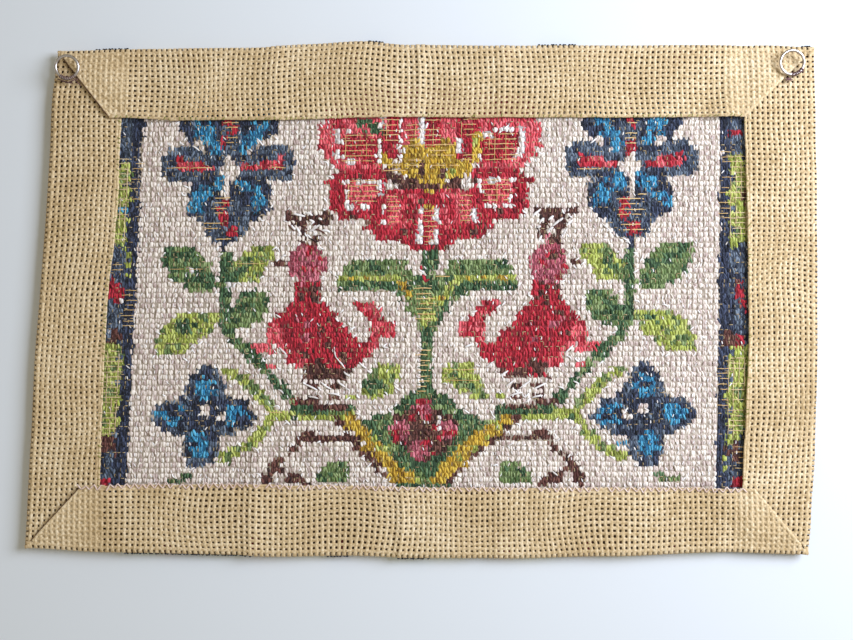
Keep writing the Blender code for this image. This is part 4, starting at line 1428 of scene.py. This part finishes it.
# Short ends on squares of the pale ground that have a colour beside them
LOOSE_ENDS = 300
rim = np.zeros(chart.shape, bool)
pale = np.isin(chart, PALE)
rim[1:-1, 1:-1] = pale[1:-1, 1:-1] & ~(pale[:-2, 1:-1] & pale[2:, 1:-1] & pale[1:-1, :-2] & pale[1:-1, 2:])
rim &= (abs(across) < 54) & (down > 0) & (down < 72)
for place in chance.permutation(np.flatnonzero(rim))[:LOOSE_ENDS]:
    column = across.flat[place] + chance.normal(0, 0.3)
    row = down.flat[place] + chance.normal(0, 0.3)
    run = chance.uniform(0.3, 1.1) / 2
    rise = chance.uniform(0.3, 0.9) * chance.choice((-1, 1)) / 2
    edges.append((column - run, row - rise, column + run, row + rise))
brown_ends = [
    (-22.0, 21.6, -19.2, 23.0), (-24.0, 21.0, -22.6, 22.2), (-26.6, 20.8, -25.4, 22.0),
    (-22.8, 23.4, -20.6, 24.4), (21.8, 19.7, 23.1, 22.1), (20.2, 21.4, 20.9, 23.6),
    (23.4, 22.4, 24.4, 21.0), (26.4, 20.2, 27.4, 19.0), (-16.2, 50.6, -14.4, 51.4),
    (16.4, 51.0, 14.2, 50.6), (-22.4, 50.4, -23.4, 51.8), (22.6, 50.8, 23.8, 51.6),
]
make_piece("carried_brown_wool", [carried(brown_ends, 0.8, 0.95)], [YARNS["brown"]])
make_piece(
    "carried_wool",
    [carried(crest, 1.15), carried(feet), carried(edges, 0.8, 1.05)],
    [YARNS["white"]],
)


# Sewing of the hems
# The free edge of the lower hem is caught down with pale pinkish thread in a zigzag, and the others with
# small olive stitches. Navy wool of the border shows past the fold here and there.

def sewing_cotton(name, shade, plain, light):
    """Spun cotton sewing thread, dyed, with a faint gloss from its finish."""
    made = cotton(name, shade, plain, light, 0.6 * MM)
    made.node_tree.nodes["Principled BSDF"].inputs["Roughness"].default_value = 0.6
    return made


PINK_THREAD = sewing_cotton("sewing_cotton_pale_pink", "B9988A", "DCC2B4", "F6E8E0")
OLIVE_THREAD = sewing_cotton("sewing_cotton_olive", "6B6A2C", "8F8C46", "B2AE6A")


def sewn(name, along, inwards, back):
    """Points of a seam on a hem, at distances inside its free edge."""
    x, z = as_place(name, along, window_at(name, along) + inwards * sum(SIDES[name].outward))
    return np.stack([x, hem_lie(name, x, z) - back, z], -1)


def bowed(starts, ends, proud):
    """Straight stitches that stand a little proud in their middle."""
    return np.stack([starts, (starts + ends) / 2 - [0, proud, 0], ends], 1)


# Pink zigzag along the lower hem, with a needle hole every 1.9 mm
zigzag = np.arange(-172.0, 153.0, 1.9) * MM
up_down = np.where(np.arange(len(zigzag)) % 2, 1.6, -0.7) * MM + chance.normal(0, 0.3 * MM, len(zigzag))
zigzag = zigzag + chance.normal(0, 0.3 * MM, len(zigzag))
starts = sewn("bottom", zigzag[:-1], up_down[:-1], 0.4 * MM)
ends = sewn("bottom", zigzag[1:], up_down[1:], 0.4 * MM)
legs = bowed(starts, ends, 0.2 * MM)
legs = legs[chance.random(len(legs)) < 0.92]
parts = [(*threads(legs, np.array([0.55, 0.8, 0.55]) * MM, 0.34 * MM), 0)]
make_piece("hem_sewing_pink", parts, [PINK_THREAD])

# Olive stitches along a hem, from and to a place in mm, and the share of them that shows
stitches = []
for name, first, last, share in (
    ("top", -160, 151, 0.75),
    ("left", -217, -39, 0.75),
    ("right", -217, -38, 0.4),
):
    along = np.arange(first, last, 2.6) * MM
    along = along + chance.normal(0, 0.4 * MM, len(along))
    along = along[chance.random(len(along)) < share]
    reach = chance.uniform(0.4, 1.5, len(along)) * MM
    lean = chance.normal(0.5, 0.5, len(along)) * MM
    starts = sewn(name, along, -0.1 * MM, 0.3 * MM)
    ends = sewn(name, along + lean, reach, 0.42 * MM)
    stitches.append(bowed(starts, ends, 0.15 * MM))
parts = [(*threads(np.concatenate(stitches), np.array([0.4, 0.55, 0.4]) * MM, 0.26 * MM), 0)]
make_piece("hem_sewing_olive", parts, [OLIVE_THREAD])

# Navy wool at the fold, from and to a place in mm. It bends round from the front towards the reverse.
peeping = []
facing = []
for name, first, last in (
    ("top", -168, -152),
    ("top", -34, -25),
    ("top", 51, 70),
    ("top", 181, 186),
    ("bottom", -150, -89),
    ("bottom", -52, -42),
    ("bottom", -18, -3),
):
    along = np.arange(first, last, 1.5)[:, None] * MM
    up = SIDES[name].outward[1]
    part = np.linspace(0, 1, 4)
    x = along + chance.normal(0, 0.4 * MM, along.shape) * part
    bulge = FOLD_RADIUS + chance.uniform(0.35, 0.62, along.shape) * MM
    turn = 0.12 + 0.34 * part
    z = fold_at(name, along) + up * bulge * np.sin(pi * turn)
    y = bulge * np.cos(pi * turn) - forward(x, z)
    peeping.append(np.stack([x, y, z], -1))
    facing.append(np.broadcast_to((0.0, 0.3, up), peeping[-1].shape))
peeping = np.concatenate(peeping)
facing = np.concatenate(facing)
parts = [(*threads(peeping, 1.3 * MM, 0.4 * MM, facing, 3), 0)]
make_piece("navy_wool_at_the_fold", parts, [YARNS["navy"]])


# Rings
# A small ring of bright plated steel wire at each top corner, sewn on with dark thread, which holds the
# cloth on its nail. Each leans out a little from where it is tied.

RING_WIRE = 1.4 * MM
THREAD_CLEAR = 0.12 * MM
ROUND_FACETS = 96
WIRE_FACETS = 18
WRAPS = 9

# In mm and degrees, an angle of 270 being at the ring's foot: where each ring is tied, how far it leans
# out, where its thread is wrapped and how far to each side, and the thread's tails from (x, z) to (x, z)
Ring = namedtuple("Ring", "name x z across tied lean wrapped spread tails")
RINGS = (
    Ring(
        name="ring_left",
        x=-180.8,
        z=-13.5,
        across=12.4,
        tied=270,
        lean=8,
        wrapped=270,
        spread=38,
        tails=(
            (-5.2, -5.4, 0.2, -7.4),
            (0.0, -7.2, 4.8, -5.4),
            (-3.0, -6.6, 2.6, -7.6),
            (3.6, -6.0, 6.4, -8.8),
        ),
    ),
    Ring(
        name="ring_right",
        x=174.4,
        z=-11.2,
        across=13.0,
        tied=275,
        lean=8,
        wrapped=300,
        spread=28,
        tails=(
            (-2.7, -8.7, 0.3, -7.0),
            (-2.5, -7.0, 0.3, -8.9),
            (-1.2, -6.6, -1.2, -9.3),
            (-3.1, -7.9, 0.7, -7.9),
            (1.6, -6.4, 6.2, -3.6),
        ),
    ),
)


def on_ring(ring, middle, angle, reach, out):
    """Points at an angle round a ring, at a distance from its middle and out of its plane."""
    tied, lean = np.radians(ring.tied), np.radians(ring.lean)
    toward, beside = reach * np.cos(angle - tied), reach * np.sin(angle - tied)
    turned = toward * np.cos(lean) - out * np.sin(lean)
    y = toward * np.sin(lean) + out * np.cos(lean)
    x = turned * np.cos(tied) - beside * np.sin(tied)
    z = turned * np.sin(tied) + beside * np.cos(tied)
    return np.stack([x + middle[0], y + middle[1], z + middle[2]], -1)


def plated_steel(name):
    """Nickel-plated steel wire, drawn smooth and a little tarnished. Its colour is darkened towards its
    edges as a painted reflection of the cloth and darker surroundings, and fine marks break up the
    highlights."""
    made, tree, shader = blank(name)
    place = add(tree, "ShaderNodeTexCoord").outputs["Object"]
    marks = add(tree, "ShaderNodeTexNoise", {"Scale": 1 / (1.4 * MM), "Detail": 3.0}, {"Vector": place})
    # Painted reflection: the colour darkens where the wire turns away
    edge = add(tree, "ShaderNodeLayerWeight", {"Blend": 0.45}).outputs["Facing"]
    tone = add(tree, "ShaderNodeMix", {"Factor": 0.55}, {"A": marks.outputs["Fac"], "B": edge})
    ramp = add(tree, "ShaderNodeValToRGB", links={"Fac": tone.outputs[0]})
    ramp.color_ramp.elements[0].position = 0.34
    ramp.color_ramp.elements[0].color = colour("D6CFCE")
    ramp.color_ramp.elements[1].position = 0.62
    ramp.color_ramp.elements[1].color = colour("544A46")
    rough = add(
        tree,
        "ShaderNodeMapRange",
        {"To Min": 0.2, "To Max": 0.42},
        {"Value": marks.outputs["Fac"]},
    )
    feed(
        shader,
        {"Metallic": 1.0},
        {"Base Color": ramp.outputs["Color"], "Roughness": rough.outputs["Result"]},
    )
    return made


PLATING = plated_steel("plated_steel_wire")
DARK_THREAD = sewing_cotton("sewing_cotton_dark_brown", "331F24", "5C3A40", "8E6668")
for ring in RINGS:
    low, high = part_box(ring.name)
    middle = (np.array(low) + np.array(high)) / 2
    radius = (ring.across * MM - RING_WIRE) / 2
    angle = np.linspace(0, 2 * pi, ROUND_FACETS + 1)[:-1, None]
    wire = np.linspace(0, 2 * pi, WIRE_FACETS + 1)[None, :-1]
    half_wire = RING_WIRE / 2
    points = on_ring(ring, middle, angle, radius + half_wire * np.cos(wire), half_wire * np.sin(wire))
    number = np.arange(ROUND_FACETS * WIRE_FACETS).reshape(ROUND_FACETS, WIRE_FACETS)
    beside, onward = np.roll(number, -1, 1), np.roll(number, -1, 0)
    faces = np.stack([number, beside, np.roll(onward, -1, 1), onward], -1).reshape(-1, 4)
    made = make_piece(ring.name + "_wire", [(points.reshape(-1, 3), faces, 0)], [PLATING])
    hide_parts(ring.name)

    # Turns of dark thread over the wire and into the hem
    spread = np.radians(ring.spread)
    at = (np.radians(ring.wrapped) + np.linspace(-spread, spread, WRAPS))[:, None]
    round_wire = np.linspace(-0.35 * pi, 1.35 * pi, 9)
    reach = radius + (half_wire + THREAD_CLEAR) * np.cos(round_wire)
    out = -(half_wire + THREAD_CLEAR) * np.sin(round_wire)
    wraps = on_ring(ring, middle, at + chance.normal(0, 0.02, at.shape), reach, out)
    facing = wraps - on_ring(ring, middle, at, radius, 0.0)
    facing /= np.linalg.norm(facing, axis=-1, keepdims=True)
    parts = [(*threads(wraps, 0.42 * MM, 0.22 * MM, facing), 0)]

    # Tails of the thread on the canvas beside the wire
    tails = []
    for x1, z1, x2, z2 in ring.tails:
        part = np.linspace(0, 1, 5)
        x = ring.x * MM + (x1 + (x2 - x1) * part) * MM
        z = ring.z * MM + (z1 + (z2 - z1) * part) * MM
        y = hem_lie("top", x, z) - 0.55 * MM - 0.5 * MM * np.sin(part * pi)
        tails.append(np.stack([x, y, z], -1))
    parts.append((*threads(np.array(tails), 0.45 * MM, 0.3 * MM), 0))
    make_piece(ring.name + "_thread", parts, [DARK_THREAD])


# Room, light and camera
# A plain pale wall close behind the cloth and a pale floor well below, both outside the part, with soft
# daylight from the upper right and a camera a little below the middle of the cloth.

FLOOR_Z = -1.2
WALL_Y = 4.4 * MM


def room_plane(name, points, material):
    """A flat surface of the room, which is stage and no part of the object."""
    mesh = bpy.data.meshes.new(name)
    mesh.from_pydata(points, [], [(0, 1, 2, 3)])
    mesh.materials.append(material)
    made = bpy.data.objects.new(name, mesh)
    bpy.context.scene.collection.objects.link(made)
    return made


# The wall's paint is clear from behind, so that the front of the cloth can be seen in other views
wall_paint, tree, shader = blank("pale_wall_paint")
feed(shader, {"Base Color": colour("DCE0E3"), "Roughness": 0.9})
side_seen = add(tree, "ShaderNodeNewGeometry").outputs["Backfacing"]
clear = add(tree, "ShaderNodeBsdfTransparent")
mixed = add(tree, "ShaderNodeMixShader")
tree.links.new(side_seen, mixed.inputs[0])
tree.links.new(shader.outputs[0], mixed.inputs[1])
tree.links.new(clear.outputs[0], mixed.inputs[2])
tree.links.new(mixed.outputs[0], tree.nodes["Material Output"].inputs["Surface"])
wall_corners = [(-2, WALL_Y, FLOOR_Z), (2, WALL_Y, FLOOR_Z), (2, WALL_Y, 1.6), (-2, WALL_Y, 1.6)]
wall = room_plane("wall", wall_corners, wall_paint)
wall.visible_shadow = False
wall.visible_diffuse = False
wall.visible_glossy = False
wall.visible_transmission = False

floor_paint, tree, shader = blank("pale_floor")
feed(shader, {"Base Color": colour("E4E3E0"), "Roughness": 0.8})
room_plane("floor", [(-3, -3, FLOOR_Z), (3, -3, FLOOR_Z), (3, 3, FLOOR_Z), (-3, 3, FLOOR_Z)], floor_paint)

world = bpy.data.worlds.new("pale_room")
world.use_nodes = True
feed(world.node_tree.nodes["Background"], {"Color": colour("F6EED6"), "Strength": 0.4})
bpy.context.scene.world = world
bpy.context.scene.view_settings.view_transform = "Standard"


def lamp(name, place, target, size, power, tint):
    """A soft square lamp at a place, turned to a target, with its size in metres and power in watts."""
    made = bpy.data.lights.new(name, "AREA")
    made.energy = power
    made.size = size
    made.color = colour(tint)[:3]
    holder = bpy.data.objects.new(name, made)
    holder.location = place
    holder.rotation_euler = (Vector(target) - Vector(place)).to_track_quat("-Z", "Y").to_euler()
    bpy.context.scene.collection.objects.link(holder)


lamp("daylight", place=(0.60, -0.50, 0.08), target=(0, 0, -0.13), size=0.46, power=10.7, tint="E4EDFF")
lamp("light_on_the_front", place=(-0.8, 1.5, 0.7), target=(0, 0, -0.12), size=1.2, power=22, tint="FFFAF2")

camera_data = bpy.data.cameras.new("camera")
camera_data.sensor_width = 36
camera_data.lens = 40.09
camera_data.clip_start = 0.01
camera_data.clip_end = 20
camera = bpy.data.objects.new("camera", camera_data)
camera.location = (-0.00471, -0.462926, -0.162284)
camera.rotation_euler = (np.radians(90) + np.arctan(0.054), 0, 0)
bpy.context.scene.collection.objects.link(camera)
bpy.context.scene.camera = camera

bpy.context.view_layer.update()
